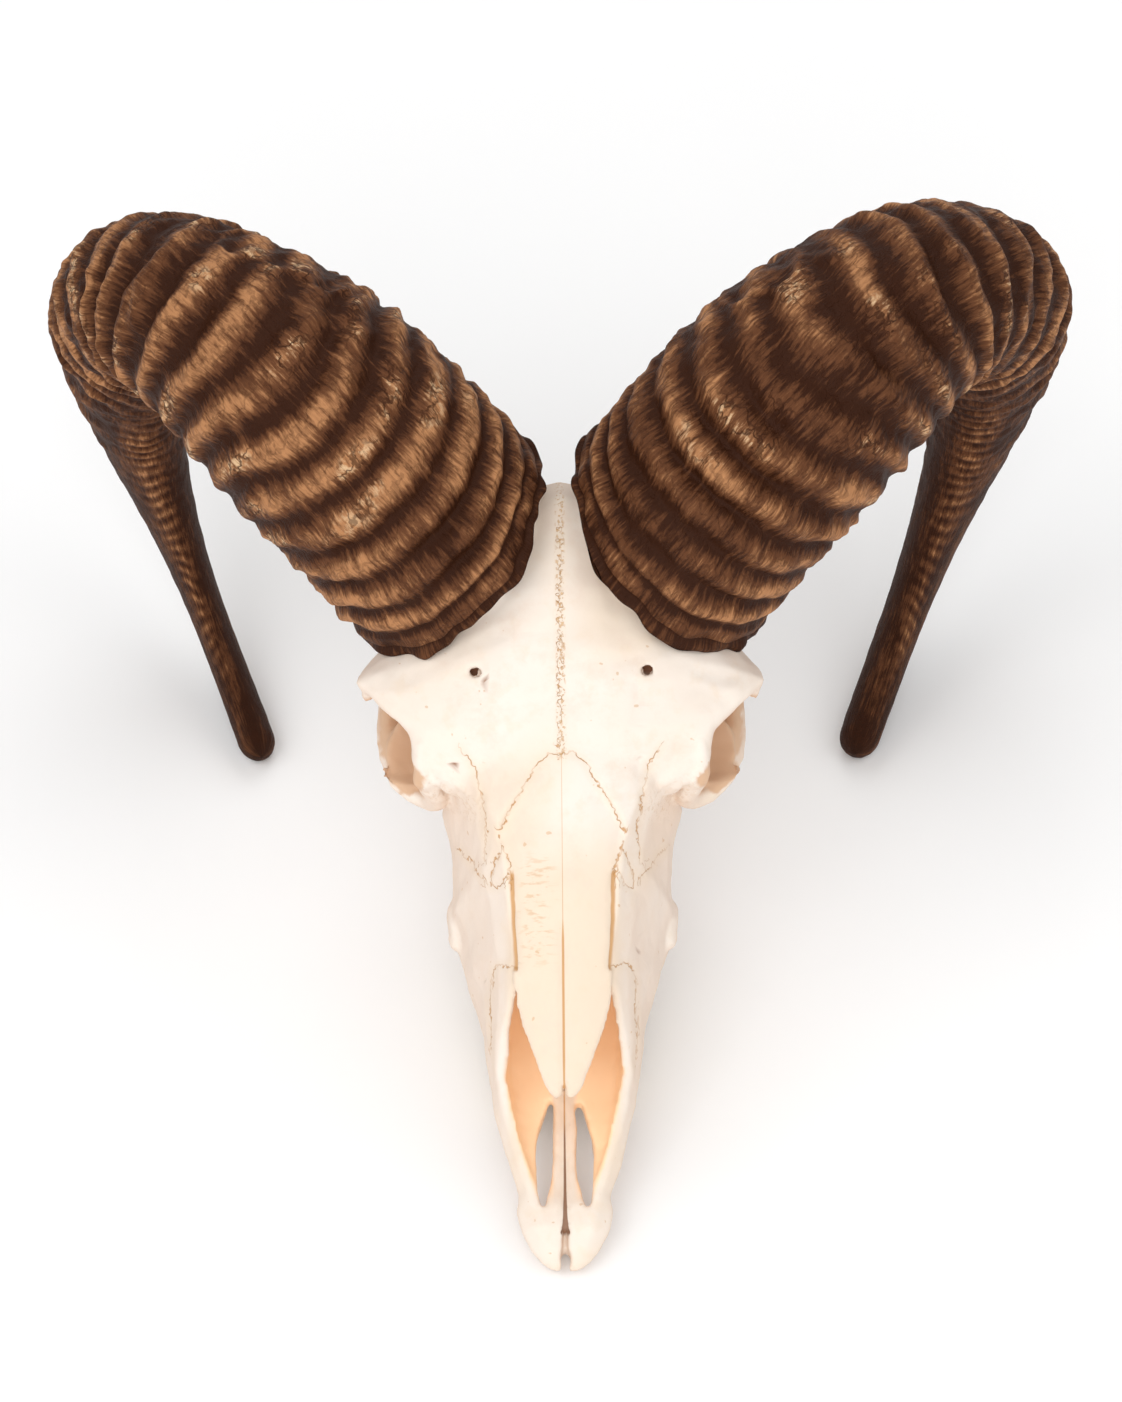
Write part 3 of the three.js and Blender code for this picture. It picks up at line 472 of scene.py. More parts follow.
def horn_relief(own, t, angle):
    """Height of the horn's surface in millimetres, how light each point is, and where the crests flake. The
    lightness is the ridges' own tone with painted shade in the valleys and a painted highlight on the crests.
    """
    along = t * HORN_LENGTH
    ring = [np.cos(angle) * RING_RADIUS, np.sin(angle) * RING_RADIUS]
    around = np.stack([*ring, along], 1)
    crest = horn_crests(own, t, angle, around)
    inner = near_angle(angle, INNER_ANGLE, INNER_WIDTH)
    fade = 1 - smoothstep(t, RIDGE_FADES - 0.08 * inner, RIDGED_TO - 0.2 * inner)
    strength = np.clip(1 + 0.3 * swell("strength", own, around), 0.45, 1.5)
    edge = 0.5 + 0.5 * np.cos(angle - linear(FACE_TURN, t)) ** 2
    height = (RIDGE_LOW + RIDGE_TALL * crest) * fade * strength * edge
    small = np.stack([*ring, along * LUMP_SQUEEZE], 1)
    height += LUMP_TALL * swell("lump", own, small) * (0.3 + 0.7 * fade)
    height += KNOB_TALL * swell("knob", own, small) * (0.25 + 0.75 * fade)
    patch = np.clip(0.92 + 0.22 * swell("patch", own, around), 0.5, 1.2)
    # Lightness follows the ridges: their own tone, with painted shade in the valleys and a painted highlight
    # on the crests
    light = crest * patch * fade + (1 - fade) * (0.2 + 0.12 * swell("far_tone", own, around))
    flake = smoothstep(t, *FLAKE_START) * (1 - smoothstep(t, *FLAKE_END)) * crest
    flake = flake * smoothstep(swell("flake", own, around), *FLAKE_EDGE)
    height, light = beaded_keel(own, t, angle, around, height, light)
    height, light = base_cuff(own, along, around, height, light)
    height = height * np.minimum(1, read(own["width"], t) / FULL_RELIEF)
    return height, np.clip(light * own["shade"], 0, 1), flake


def horn_surface(own, t, angle):
    """Skull-frame points of the horn's surface, how light they are, and where they flake."""
    centre, radial = coil_point(own, t)
    tangent = coil_point(own, t + COIL_STEP)[0] - coil_point(own, t - COIL_STEP)[0]
    tangent /= np.linalg.norm(tangent, axis=1)[:, None]
    radial = radial - tangent * np.sum(radial * tangent, 1)[:, None]
    radial /= np.linalg.norm(radial, axis=1)[:, None]
    across = np.cross(tangent, radial)
    end = np.maximum(0, (t - 1 + TIP_ROUNDING) / TIP_ROUNDING)
    shrink = np.sqrt(np.maximum(1 - end * end, 0.01))
    slant = BASE_SLANT * np.exp(-t / BASE_SLANT_FADE)
    lift, light, flake = horn_relief(own, t, angle)
    depth = (read(own["depth"], t) + lift) * shrink * np.cos(angle)
    width = (read(own["width"], t) + lift) * shrink * np.sin(angle)
    ring = np.stack([np.cos(angle) * RING_RADIUS, np.sin(angle) * RING_RADIUS], 1)
    wave = 1.2 * swell("long_wave", own, ring) + 0.4 * swell("short_wave", own, ring)
    wave = np.exp(-t / BASE_WAVE_FADE) * wave
    point = (centre + depth[:, None] * radial + width[:, None] * across
             + (slant * width + wave)[:, None] * tangent)
    return face_to_skull(-own["side"] * point[:, 0], point[:, 1], point[:, 2]), light, flake


def horn_mesh(name, own):
    """The horn's mesh from a grid, closed at both ends, with what its material reads."""
    form = bmesh.new()
    bmesh.ops.create_grid(form, x_segments=HORN_SIDES, y_segments=HORN_RINGS, size=1)
    grid = np.array([v.co[:2] for v in form.verts])
    angle = (grid[:, 0] + 1) * math.pi
    t = (grid[:, 1] + 1) / 2
    points, light, flake = horn_surface(own, t, angle)
    points = inside_box(rest(points))
    reach = read(own["width"], t) * 0.5 + 16
    grain = np.stack([np.cos(angle) * reach, np.sin(angle) * reach, t * HORN_LENGTH], 1)
    crest_layer = form.verts.layers.float.new("crest")
    flake_layer = form.verts.layers.float.new("flake")
    grain_layer = form.verts.layers.float_vector.new("grain")
    rows = zip(form.verts, points.tolist(), light.tolist(), flake.tolist(), grain.tolist())
    for vert, place, crest, flaked, fibre in rows:
        vert.co = place
        vert[crest_layer] = crest
        vert[flake_layer] = flaked
        vert[grain_layer] = fibre
    bmesh.ops.remove_doubles(form, verts=form.verts, dist=1e-6)
    bmesh.ops.holes_fill(form, edges=[e for e in form.edges if e.is_boundary], sides=0)
    bmesh.ops.triangulate(form, faces=[f for f in form.faces if len(f.verts) > 4])
    bmesh.ops.recalc_face_normals(form, faces=form.faces)
    for face in form.faces:
        face.smooth = True
    mesh = bpy.data.meshes.new(name)
    form.to_mesh(mesh)
    form.free()
    return mesh


# Bones


def with_modifier(mesh, kind, **settings):
    """The mesh after one modifier."""
    holder = add_object("holder", mesh)
    step = holder.modifiers.new("step", kind)
    for key, value in settings.items():
        setattr(step, key, value)
    bpy.context.view_layer.update()
    made = bpy.data.meshes.new_from_object(holder.evaluated_get(bpy.context.evaluated_depsgraph_get()))
    bpy.data.objects.remove(holder)
    return made


def joined_skin(nodes, voxel, swelling):
    """One fine even skin over copies of the bone nodes, swollen to close the cuts between them."""
    form = bmesh.new()
    for node in nodes:
        form.from_mesh(NODES[node].data)
    bmesh.ops.remove_doubles(form, verts=form.verts, dist=2e-6)
    form.normal_update()
    for vert in form.verts:
        vert.co += vert.normal * swelling * MM
    mesh = bpy.data.meshes.new("joined")
    form.to_mesh(mesh)
    form.free()
    return with_modifier(mesh, "REMESH", mode="VOXEL", voxel_size=voxel * MM)


def relax(mesh, rounds):
    """Rounds off the flat facets. Each round shrinks the form a little and then swells it back."""
    points = places(mesh)
    edges = np.empty(len(mesh.edges) * 2, np.int32)
    mesh.edges.foreach_get("vertices", edges)
    a, b = edges[0::2], edges[1::2]
    total = len(points)
    count = np.maximum(np.bincount(a, minlength=total) + np.bincount(b, minlength=total), 1)
    for step in range(rounds * 2):
        factor = RELAX_IN if step % 2 == 0 else -RELAX_OUT
        sums = [np.bincount(a, points[b, k], total) + np.bincount(b, points[a, k], total) for k in range(3)]
        mean = np.stack(sums, 1) / count[:, None]
        points += (mean - points) * factor
    set_places(mesh, points)


def nudged(skull):
    """Skull points after the small pushes that bring the eye hollow's and the cheek's outlines into place."""
    c, s = math.cos(VIEW_TILT), math.sin(VIEW_TILT)
    moved = skull.copy()
    for centre, reach, push, (lowest, highest) in NUDGES:
        x, up = face_plane(moved)
        share = np.exp(-(((np.abs(x) - centre[0]) / reach[0]) ** 2) - ((up - centre[1]) / reach[1]) ** 2)
        share *= smoothstep(moved[:, 2], lowest, lowest + NUDGE_FADE)
        share *= smoothstep(highest - moved[:, 2], 0, NUDGE_FADE)
        moved[:, 0] += share * push[0] * np.sign(x)
        moved[:, 1] += share * push[1] * c
        moved[:, 2] += share * push[1] * s
    return moved


def seam_field(x, up, skull):
    """Distance to the nearest seam, plain and signed, then to the slit by the nose, and where it is."""
    mirrored = np.abs(x)
    seam = np.full(len(x), NO_SEAM)
    side = np.ones(len(x))
    for line in SEAMS.values():
        d, s = line_distance(mirrored, up, line)
        closer = d < seam
        seam = np.where(closer, d, seam)
        side = np.where(closer, s, side)
    side = np.where((up > BROW_SEAM_FROM) & (mirrored <= seam + 1e-6), np.sign(x), side)
    low = skull[:, 2] < SEAMS_ABOVE + mirrored * 0.2
    seam = np.where(low, NO_SEAM, seam)
    beside = (up > SLIT[0][0] - 0.5) & (up < SLIT[-1][0] + 0.5) & ~low
    return seam, seam * side, mirrored - linear(SLIT, up), beside


def inner_field(skull, outward):
    """How far a point belongs to the inside of the nose and of an eye hollow, and how far the eye is."""
    x, y, z = np.abs(skull[:, 0]), skull[:, 1], skull[:, 2]
    half, roof = linear(NOSE_HALF, y), linear(NOSE_ROOF, y)
    inward = smoothstep(-outward[:, 0] * np.sign(skull[:, 0]), 0.1, 0.55)
    floor = smoothstep(half - x, 0.5, 2.5) * (1 - smoothstep(z, *NOSE_FLOOR)) * smoothstep(x, *SEPTUM)
    nose = (smoothstep(half + 1.2 - x, -0.4, 0.8) * smoothstep(z, *NOSE_BOTTOM)
            * smoothstep(roof - z, -1.0, 2.5) * smoothstep(y, *NOSE_FRONT) * (1 - smoothstep(y, *NOSE_BACK)))
    parts = zip((x, y, z), EYE_CENTRE, EYE_RADII)
    eye = np.sqrt(sum(((place - centre) / radius) ** 2 for place, centre, radius in parts))
    return nose * np.clip(np.maximum(inward, floor), 0, 1), 1 - smoothstep(eye, 1.0, 1.12), eye


def bone_field(skull, outward):
    """What the bones' relief and material have to know about each point of the skin."""
    x, up = face_plane(skull)
    field = SimpleNamespace(skull=skull, high=skull[:, 2], x=x, up=up, mirrored=np.abs(x))
    field.seam, field.signed_seam, field.slit, field.beside = seam_field(x, up, skull)
    field.facing = outward @ face_direction(0.0, 1.0) / MM
    field.nose, hollow, field.eye = inner_field(skull, outward)
    margin = inside_outline(field.mirrored, up, EYE_MARGIN + EYE_EDGE)
    margin = margin + MARGIN_JAG * ripple(np.stack([x, up], 1), *MARGIN_SWELL)
    behind = smoothstep(HOLLOW_TOP - field.high, 0, 2) * smoothstep(field.high, *HOLLOW_FLOOR)
    field.hollow = np.maximum(hollow, smoothstep(margin, -0.3, 0.5) * behind)
    field.seen = smoothstep(field.facing, 0.05, 0.35)
    field.open_side = (1 - np.maximum(field.nose, field.hollow)) * field.seen
    field.gap = linear(MIDDLE_GAP, up)
    on_nose = (up > NASALS_FROM) & (up < NASALS_TO) & (field.high > NASALS_ABOVE)
    on_snout = (up > SNOUT_FROM) & (up <= SNOUT_TO) & (field.high > SNOUT_ABOVE) & (skull[:, 1] < SNOUT_BACK)
    field.on_middle = on_nose | on_snout
    return field


def bone_relief(field):
    """Height of the bones' fine relief in millimetres, and how far each point lies in a small hole."""
    up, mirrored, high = field.up, field.mirrored, field.high
    lift = -SEAM_DEPTH * bell(field.seam, SEAM_WIDTH) * field.open_side
    lift -= SLIT_DEPTH * bell(field.slit, SLIT_WIDTH) * field.open_side * field.beside
    middle = 1 - smoothstep(mirrored - field.gap, -0.1, 0.8)
    lift -= middle * field.seen * (up < MIDDLE_OPEN_TO) * field.on_middle
    edge, _ = line_distance(mirrored, up, EYE_EDGE)
    lift -= (RIM_THINNED * bell(edge, RIM_REACH)
             * smoothstep(RIM_TOP - high, 0, 4) * smoothstep(high, *RIM_FLOOR))
    for line, tall, wide in BROW_BARS:
        d, _ = line_distance(mirrored, up, line)
        lift += tall * bell(d, wide) * (high > BROW_BARS_ABOVE) * field.open_side
    d, _ = line_distance(mirrored, up, BROW_GROOVE)
    lift -= GROOVE_DEPTH * bell(d, GROOVE_WIDTH) * (high > GROOVE_ABOVE)
    # hole_shade: the inside of the small holes, where painted shade goes
    hole_shade = np.zeros(len(up))
    for across, centre, radius, depth in HOLES:
        d = np.hypot(field.x - across, (up - centre) * HOLE_SQUASH) / radius
        inside = (1 - smoothstep(d, 0.75, 1.25)) * (field.facing > 0.2)
        hole_shade = np.maximum(hole_shade, inside)
        lift -= depth * inside
    lift += sum(tall * ripple(field.skull, spacing, seed) for tall, spacing, seed in BONE_SWELLS)
    tall, spacing, seed = SOCKET_SWELL
    lift += tall * bell(field.eye - 1.06, 0.16) * ripple(field.skull, spacing, seed)
    return lift, hole_shade


def store_bone_field(mesh, field, hole_shade):
    """Stores on the skin what the bone material reads."""
    up, mirrored, seen, high = field.up, field.mirrored, field.seen, field.high
    # The nasal bones' warmer, darker tone: partly their own colour, partly painted shade that tones down the
    # key lamp's light on them
    nasal = smoothstep(WARM_SIDE - mirrored, -1, 3) * smoothstep(WARM_TOP - up, 0, 25)
    nasal = nasal * smoothstep(up, *WARM_FROM)
    porous, _ = line_distance(mirrored, up, POROUS_LINE)
    stained = smoothstep(up, *STAIN_START) * (1 - smoothstep(up, *STAIN_END))
    stained = stained * np.exp(-(((field.x - STAIN_CENTRE) / STAIN_REACH) ** 4))
    # Warmer in random patches and towards the back of the skull, plus painted shade: warmer where the bone
    # turns away from the camera
    warmth_and_side_shade = 0.5 + 0.25 * ripple(field.skull, *WARMTH_SWELL) + 0.15 * (field.skull[:, 1] - 120) / 120
    values = {
        "seam": field.signed_seam, "seam_near": field.seam, "slit": field.slit, "slit_on": field.beside,
        "across": field.x, "middle_on": field.on_middle, "gap": field.gap, "nasal": nasal * seen,
        "wedge_shade": smoothstep(NASALS_FROM - up, 0, 8), "brow_on": (up > BROW_DOTS_FROM) & (high > FACE_ABOVE),
        # side_shade: painted shade, on where the bone faces away from the camera
        "side_shade": 1 - smoothstep(field.facing, 0.15, 0.85), "nose": field.nose, "hollow": field.hollow,
        "hole_shade": hole_shade, "teeth": (1 - smoothstep(high, *TEETH_TOP)) * (field.skull[:, 1] < TEETH_BACK),
        "porous": bell(porous, POROUS_REACH) * (high > FACE_ABOVE) * seen,
        "stained": stained * seen * (high > FACE_ABOVE),
        "warmth_and_side_shade": np.clip(warmth_and_side_shade + 0.5 * (1 - seen), 0, 1),
    }
    for name, value in values.items():
        store(mesh, name, value)


def bone_skin(nodes, voxel, rounds, most):
    """The bones' one skin, rounded, thinned to its triangle limit and given its fine relief."""
    mesh = joined_skin(nodes, voxel, SKIN_SWELLING)
    relax(mesh, rounds)
    triangles = len(mesh.polygons) * 2
    if triangles > most:
        mesh = with_modifier(mesh, "DECIMATE", decimate_type="COLLAPSE", ratio=most / triangles)
    skull = nudged(unrest(places(mesh)))
    set_places(mesh, rest(skull))
    outward = normals(mesh)
    field = bone_field(skull, outward)
    lift, hole_shade = bone_relief(field)
    settled = places(mesh)
    lift = np.where(settled[:, 2] < NO_SWELL_BELOW, np.minimum(lift, 0), lift)
    settled += outward * (lift * MM)[:, None]
    set_places(mesh, inside_box(settled))
    store_bone_field(mesh, field, hole_shade)
    for polygon in mesh.polygons:
        polygon.use_smooth = True
    return mesh


# Materials


def add_group(name, outputs):
    group = bpy.data.node_groups.new(name, "ShaderNodeTree")
    for label, kind in outputs:
        group.interface.new_socket(label, in_out="OUTPUT", socket_type=kind)
    return group, group.nodes.new("NodeGroupOutput")


class Weave:
    """Adds shader nodes to one tree."""

    def __init__(self, tree):
        self.tree = tree

    def node(self, kind, **settings):
        made = self.tree.nodes.new(kind)
        for key, value in settings.items():
            setattr(made, key, value)
        return made

    def join(self, source, target):
        self.tree.links.new(source, target)

    def attribute(self, name, vector=False):
        made = self.node("ShaderNodeAttribute", attribute_name=name)
        return made.outputs["Vector" if vector else "Fac"]

    def place(self):
        return self.node("ShaderNodeTexCoord").outputs["Object"]

    def noise(self, coords, scale, detail=3.0, rough=0.55):
        made = self.node("ShaderNodeTexNoise")
        made.inputs["Scale"].default_value = scale
        made.inputs["Detail"].default_value = detail
        made.inputs["Roughness"].default_value = rough
        self.join(coords, made.inputs["Vector"])
        return made.outputs["Fac"]

    def stretch(self, coords, by):
        made = self.node("ShaderNodeMapping")
        made.inputs["Scale"].default_value = by
        self.join(coords, made.inputs["Vector"])
        return made.outputs["Vector"]

    def math(self, kind, a, b=None):
        made = self.node("ShaderNodeMath", operation=kind)
        for slot, value in zip(made.inputs, (a, b)):
            if isinstance(value, bpy.types.NodeSocket):
                self.join(value, slot)
            elif value is not None:
                slot.default_value = value
        return made.outputs[0]

    def centred(self, value, swing):
        """A noise that runs from 0 to 1, moved to swing evenly about 0."""
        return self.math("MULTIPLY", self.math("SUBTRACT", value, 0.5), swing)

    def step(self, value, low, high, to_low=0.0, to_high=1.0):
        made = self.node("ShaderNodeMapRange", interpolation_type="SMOOTHSTEP")
        self.join(value, made.inputs["Value"])
        made.inputs["From Min"].default_value = low
        made.inputs["From Max"].default_value = high
        made.inputs["To Min"].default_value = to_low
        made.inputs["To Max"].default_value = to_high
        return made.outputs["Result"]

    def mix(self, mask, a, b):
        made = self.node("ShaderNodeMix", data_type="RGBA")
        self.join(mask, made.inputs[0])
        for slot, value in ((made.inputs[6], a), (made.inputs[7], b)):
            if isinstance(value, bpy.types.NodeSocket):
                self.join(value, slot)
            else:
                slot.default_value = (*value, 1)
        return made.outputs[2]

    def tint(self, base, mask, share, colour):
        """The base colour with a share of another one where the mask is on."""
        return self.mix(self.math("MULTIPLY", mask, share), base, colour)


def bone_ground(w, colours, place, fine):
    """Bleached bone, warmer or pinker in patches, with painted shade that makes the sides facing away warmer
    and pinker, a warmer nasal tone that is partly painted shade, and mottling and specks.
    """
    base = w.mix(w.step(w.noise(place, *BONE_NOISE["broad"]), 0.38, 0.64), colours.pale, colours.ivory)
    base = w.tint(base, w.step(fine, 0.5, 0.72), 0.3, colours.warm)
    # Warm patches, warmer towards the back, and painted shade where the bone turns away from the camera
    base = w.tint(base, w.step(w.attribute("warmth_and_side_shade"), 0.55, 1.0), 0.5, colours.warm)
    # Painted shade: the bone turns darker and pinker where it faces away from the camera
    base = w.tint(base, w.attribute("side_shade"), 0.75, colours.shade)
    # Nasal bones warmer and darker: partly their own tone, partly painted shade against the key lamp
    base = w.tint(base, w.attribute("nasal"), 0.7, colours.warm)
    base = w.tint(base, w.step(w.noise(place, *BONE_NOISE["mottle"]), 0.48, 0.7), 0.45, colours.shade)
    return w.tint(base, w.step(w.noise(place, *BONE_NOISE["specks"]), 0.74, 0.78), 0.5, colours.stain)


def bone_stains(w, colours, place, base):
    """Adds stained pores below the brow and stained bands on one nasal bone. Also gives the pores."""
    pores = w.step(w.noise(place, *BONE_NOISE["pores"]), 0.52, 0.64)
    porous = w.math("MULTIPLY", w.attribute("porous"), pores)
    base = w.tint(base, porous, 0.22, colours.stain)
    bands = w.noise(w.stretch(place, BAND_STRETCH), *BONE_NOISE["bands"])
    stained = w.math("MULTIPLY", w.attribute("stained"), w.step(bands, 0.5, 0.66))
    return w.tint(base, stained, 0.45, colours.stain), porous


def bone_seams(w, colours, place, base):
    """Adds the wandering seam lines and the brow seam's dots. Also gives both masks."""
    seam_near = w.attribute("seam_near")
    base = w.tint(base, w.step(seam_near, 0.0, 3.0, 1.0, 0.0), 0.3, colours.warm)
    away = w.math("ABSOLUTE", w.attribute("across"))
    band = w.math("MULTIPLY", w.step(away, 0.9, 1.9, 1.0, 0.0), w.attribute("brow_on"))
    dots = w.math("MULTIPLY", band, w.step(w.noise(place, *BONE_NOISE["dots"]), 0.53, 0.6))
    base = w.tint(base, dots, 0.7, colours.stain)
    zigzag = w.centred(w.noise(place, *BONE_NOISE["zigzag"]), SEAM_ZIGZAG)
    wander = w.centred(w.noise(place, *BONE_NOISE["wander"]), SEAM_WANDER)
    stronger = w.math("ADD", w.math("MULTIPLY", band, BROW_SEAM_SWING), 1.0)
    swing = w.math("MULTIPLY", w.math("ADD", zigzag, wander), stronger)
    shifted = w.math("ADD", w.attribute("seam"), swing)
    line = w.step(w.math("ABSOLUTE", shifted), 0.08, 0.36, 1.0, 0.0)
    line = w.math("MULTIPLY", line, w.step(seam_near, 1.5, 2.1, 1.0, 0.0))
    patchy = w.step(w.noise(place, *BONE_NOISE["patchy"]), 0.4, 0.56)
    line = w.math("MULTIPLY", line, w.math("ADD", w.math("MULTIPLY", patchy, 0.65), 0.35))
    return w.tint(base, line, 0.85, colours.seam), line, dots


def bone_gaps(w, colours, base):
    """Adds the open slits, beside the nose and on the middle line down to the snout wedge, in colour: the
    orange bone inside them with painted shade, and painted shade alone in the dark snout wedge.
    """
    slit = w.step(w.math("ABSOLUTE", w.attribute("slit")), 0.4, 0.95, 0.85, 0.0)
    # Slits beside the nose: orange bone inside, with painted shade of the opening
    base = w.mix(w.math("MULTIPLY", slit, w.attribute("slit_on")), base, colours.slot)
    away = w.math("ABSOLUTE", w.attribute("across"))
    split = w.step(w.math("SUBTRACT", away, w.attribute("gap")), -0.05, 0.24, 0.9, 0.0)
    split = w.math("MULTIPLY", split, w.attribute("middle_on"))
    # Middle split: orange bone with painted shade, then the snout wedge's dark brown, which is painted shade
    return w.mix(split, base, w.mix(w.attribute("wedge_shade"), colours.slot, colours.wedge_shade))


def bone_inside(w, colours, place, base):
    """Adds the inside of the nose (its tan, brightened as painted light), the eye hollows (tan with painted
    shade), the small holes (painted shade) and the teeth.
    """
    # Tan inner walls of the nose, made brighter than the outer bone: their own tan, with painted light in the
    # shadowed cavity
    base = w.tint(base, w.attribute("nose"), 0.9, colours.inner)
    # Eye hollows: tan inside, darkened as painted shade in the recess
    base = w.tint(base, w.attribute("hollow"), 0.95, colours.hollow)
    # Painted shade: dark brown inside the small holes
    base = w.tint(base, w.attribute("hole_shade"), 0.95, colours.hole_shade)
    streaks = w.noise(w.stretch(place, TOOTH_STRETCH), *BONE_NOISE["streaks"])
    tooth = w.mix(w.step(streaks, 0.4, 0.65), colours.tooth, colours.tooth_dark)
    return w.mix(w.attribute("teeth"), base, tooth)


def bone_tone(colours):
    """Colour, glow and fine height of the dry bone."""
    group, out = add_group("bone_tone", (
        ("Color", "NodeSocketColor"), ("Glow", "NodeSocketColor"), ("Height", "NodeSocketFloat")))
    w = Weave(group)
    place = w.place()
    fine = w.noise(place, *BONE_NOISE["fine"])
    base, porous = bone_stains(w, colours, place, bone_ground(w, colours, place, fine))
    base, line, dots = bone_seams(w, colours, place, base)
    base = bone_inside(w, colours, place, bone_gaps(w, colours, base))
    w.join(base, out.inputs["Color"])
    w.join(w.mix(w.attribute("nose"), (0.0, 0.0, 0.0), colours.glow), out.inputs["Glow"])
    height = w.math("MULTIPLY", fine, 0.35)
    height = w.math("SUBTRACT", height, w.math("MULTIPLY", line, 0.5))
    height = w.math("SUBTRACT", height, w.math("MULTIPLY", w.math("ADD", porous, dots), 0.35))
    w.join(height, out.inputs["Height"])
    return group


def horn_cracks(w, grain):
    """A net of fine cracks with wavy edges."""
    wave = w.node("ShaderNodeTexNoise")
    wave.inputs["Scale"].default_value = CRACK_WAVE_SCALE
    w.join(grain, wave.inputs["Vector"])
    push = w.node("ShaderNodeVectorMath", operation="SCALE")
    push.inputs["Scale"].default_value = CRACK_WAVE
    w.join(wave.outputs["Color"], push.inputs[0])
    warp = w.node("ShaderNodeVectorMath", operation="ADD")
    w.join(grain, warp.inputs[0])
    w.join(push.outputs[0], warp.inputs[1])
    net = w.node("ShaderNodeTexVoronoi", feature="DISTANCE_TO_EDGE")
    net.inputs["Scale"].default_value = CRACK_SCALE
    w.join(warp.outputs[0], net.inputs["Vector"])
    return w.step(net.outputs["Distance"], 0.015, 0.10, 1.0, 0.0)


def horn_tone(colours):
    """Colour, roughness and fine height of the horn: dark valleys partly as painted shade, crests lighter
    partly as painted highlight, golden fibres and cream flakes.
    """
    group, out = add_group("horn_tone", (
        ("Color", "NodeSocketColor"), ("Roughness", "NodeSocketFloat"), ("Height", "NodeSocketFloat")))
    w = Weave(group)
    grain = w.attribute("grain", vector=True)
    # crest: the horn's lightness, with painted shade in the ridge valleys and a painted highlight on the
    # crests
    tone = w.attribute("crest")
    layers = {}
    for name, (weight, stretch, *settings) in HORN_NOISE.items():
        layers[name] = w.noise(w.stretch(grain, stretch), *settings)
        tone = w.math("ADD", tone, w.centred(layers[name], weight))
    base = w.mix(w.step(tone, 0.1, 0.55), colours.horn_dark, colours.horn_brown)
    base = w.mix(w.step(tone, 0.55, 1.22), base, colours.horn_tan)
    flake = w.attribute("flake")
    flakes = w.math("MULTIPLY", flake, w.step(tone, 0.72, 1.05))
    flakes = w.math("MULTIPLY", flakes, w.step(w.noise(grain, *FLAKE_NOISE), 0.44, 0.58))
    base = w.tint(base, flakes, 0.8, colours.horn_cream)
    cracks = w.math("MULTIPLY", horn_cracks(w, grain), w.math("ADD", w.math("MULTIPLY", flake, 0.6), 0.4))
    base = w.tint(base, cracks, 0.75, colours.horn_dark)
    w.join(base, out.inputs["Color"])
    w.join(w.step(tone, 0.0, 1.0, 0.55, 0.62), out.inputs["Roughness"])
    height = w.math("ADD", w.math("MULTIPLY", layers["fibre"], 0.6), w.math("MULTIPLY", layers["lump"], 0.6))
    height = w.math("SUBTRACT", height, w.math("MULTIPLY", cracks, 0.35))
    w.join(height, out.inputs["Height"])
    return group


def dressed_material(name, group, rough, depth, specular):
    """A material whose colour and bump come from the group, and its roughness where the group has one."""
    material = bpy.data.materials.new(name)
    material.use_nodes = True
    w = Weave(material.node_tree)
    shader = material.node_tree.nodes["Principled BSDF"]
    tone = w.node("ShaderNodeGroup")
    tone.node_tree = group
    w.join(tone.outputs["Color"], shader.inputs["Base Color"])
    if "Roughness" in tone.outputs:
        w.join(tone.outputs["Roughness"], shader.inputs["Roughness"])
    else:
        shader.inputs["Roughness"].default_value = rough
    shader.inputs["Specular IOR Level"].default_value = specular
    if "Glow" in tone.outputs:
        w.join(tone.outputs["Glow"], shader.inputs["Emission Color"])
        shader.inputs["Emission Strength"].default_value = GLOW_STRENGTH
    bump = w.node("ShaderNodeBump")
    bump.inputs["Distance"].default_value = depth * MM
    bump.inputs["Strength"].default_value = 1.0
    w.join(tone.outputs["Height"], bump.inputs["Height"])
    w.join(bump.outputs["Normal"], shader.inputs["Normal"])
    return material


# Add-on parts


def colour(name, about, value):
    return bpy.props.FloatVectorProperty(name=name, description=about, subtype="COLOR", size=3, min=0, max=1,
                                         default=value)


def number(name, about, value, **limits):
    kind = bpy.props.IntProperty if isinstance(value, int) else bpy.props.FloatProperty
    return kind(name=name, description=about, default=value, **limits)


class SkullSizes(bpy.types.PropertyGroup):
    """Sizes of the skin's detail."""

    bone_grid: number("Bone Grid", "Skin spacing on the bones, in mm", 0.85, min=0.5, max=3)
    bone_rounds: number("Rounding", "How far flat facets are rounded off", 30, min=1, max=80)
    bone_faces: number("Bone Triangles", "Most triangles in the bones' skin", 192000, min=20000, max=198000)
    horn_bump: number("Horn Grain", "Depth of the horn's grain, in mm", 1.1)
    bone_bump: number("Bone Grain", "Depth of the bone's grain, in mm", 0.3)


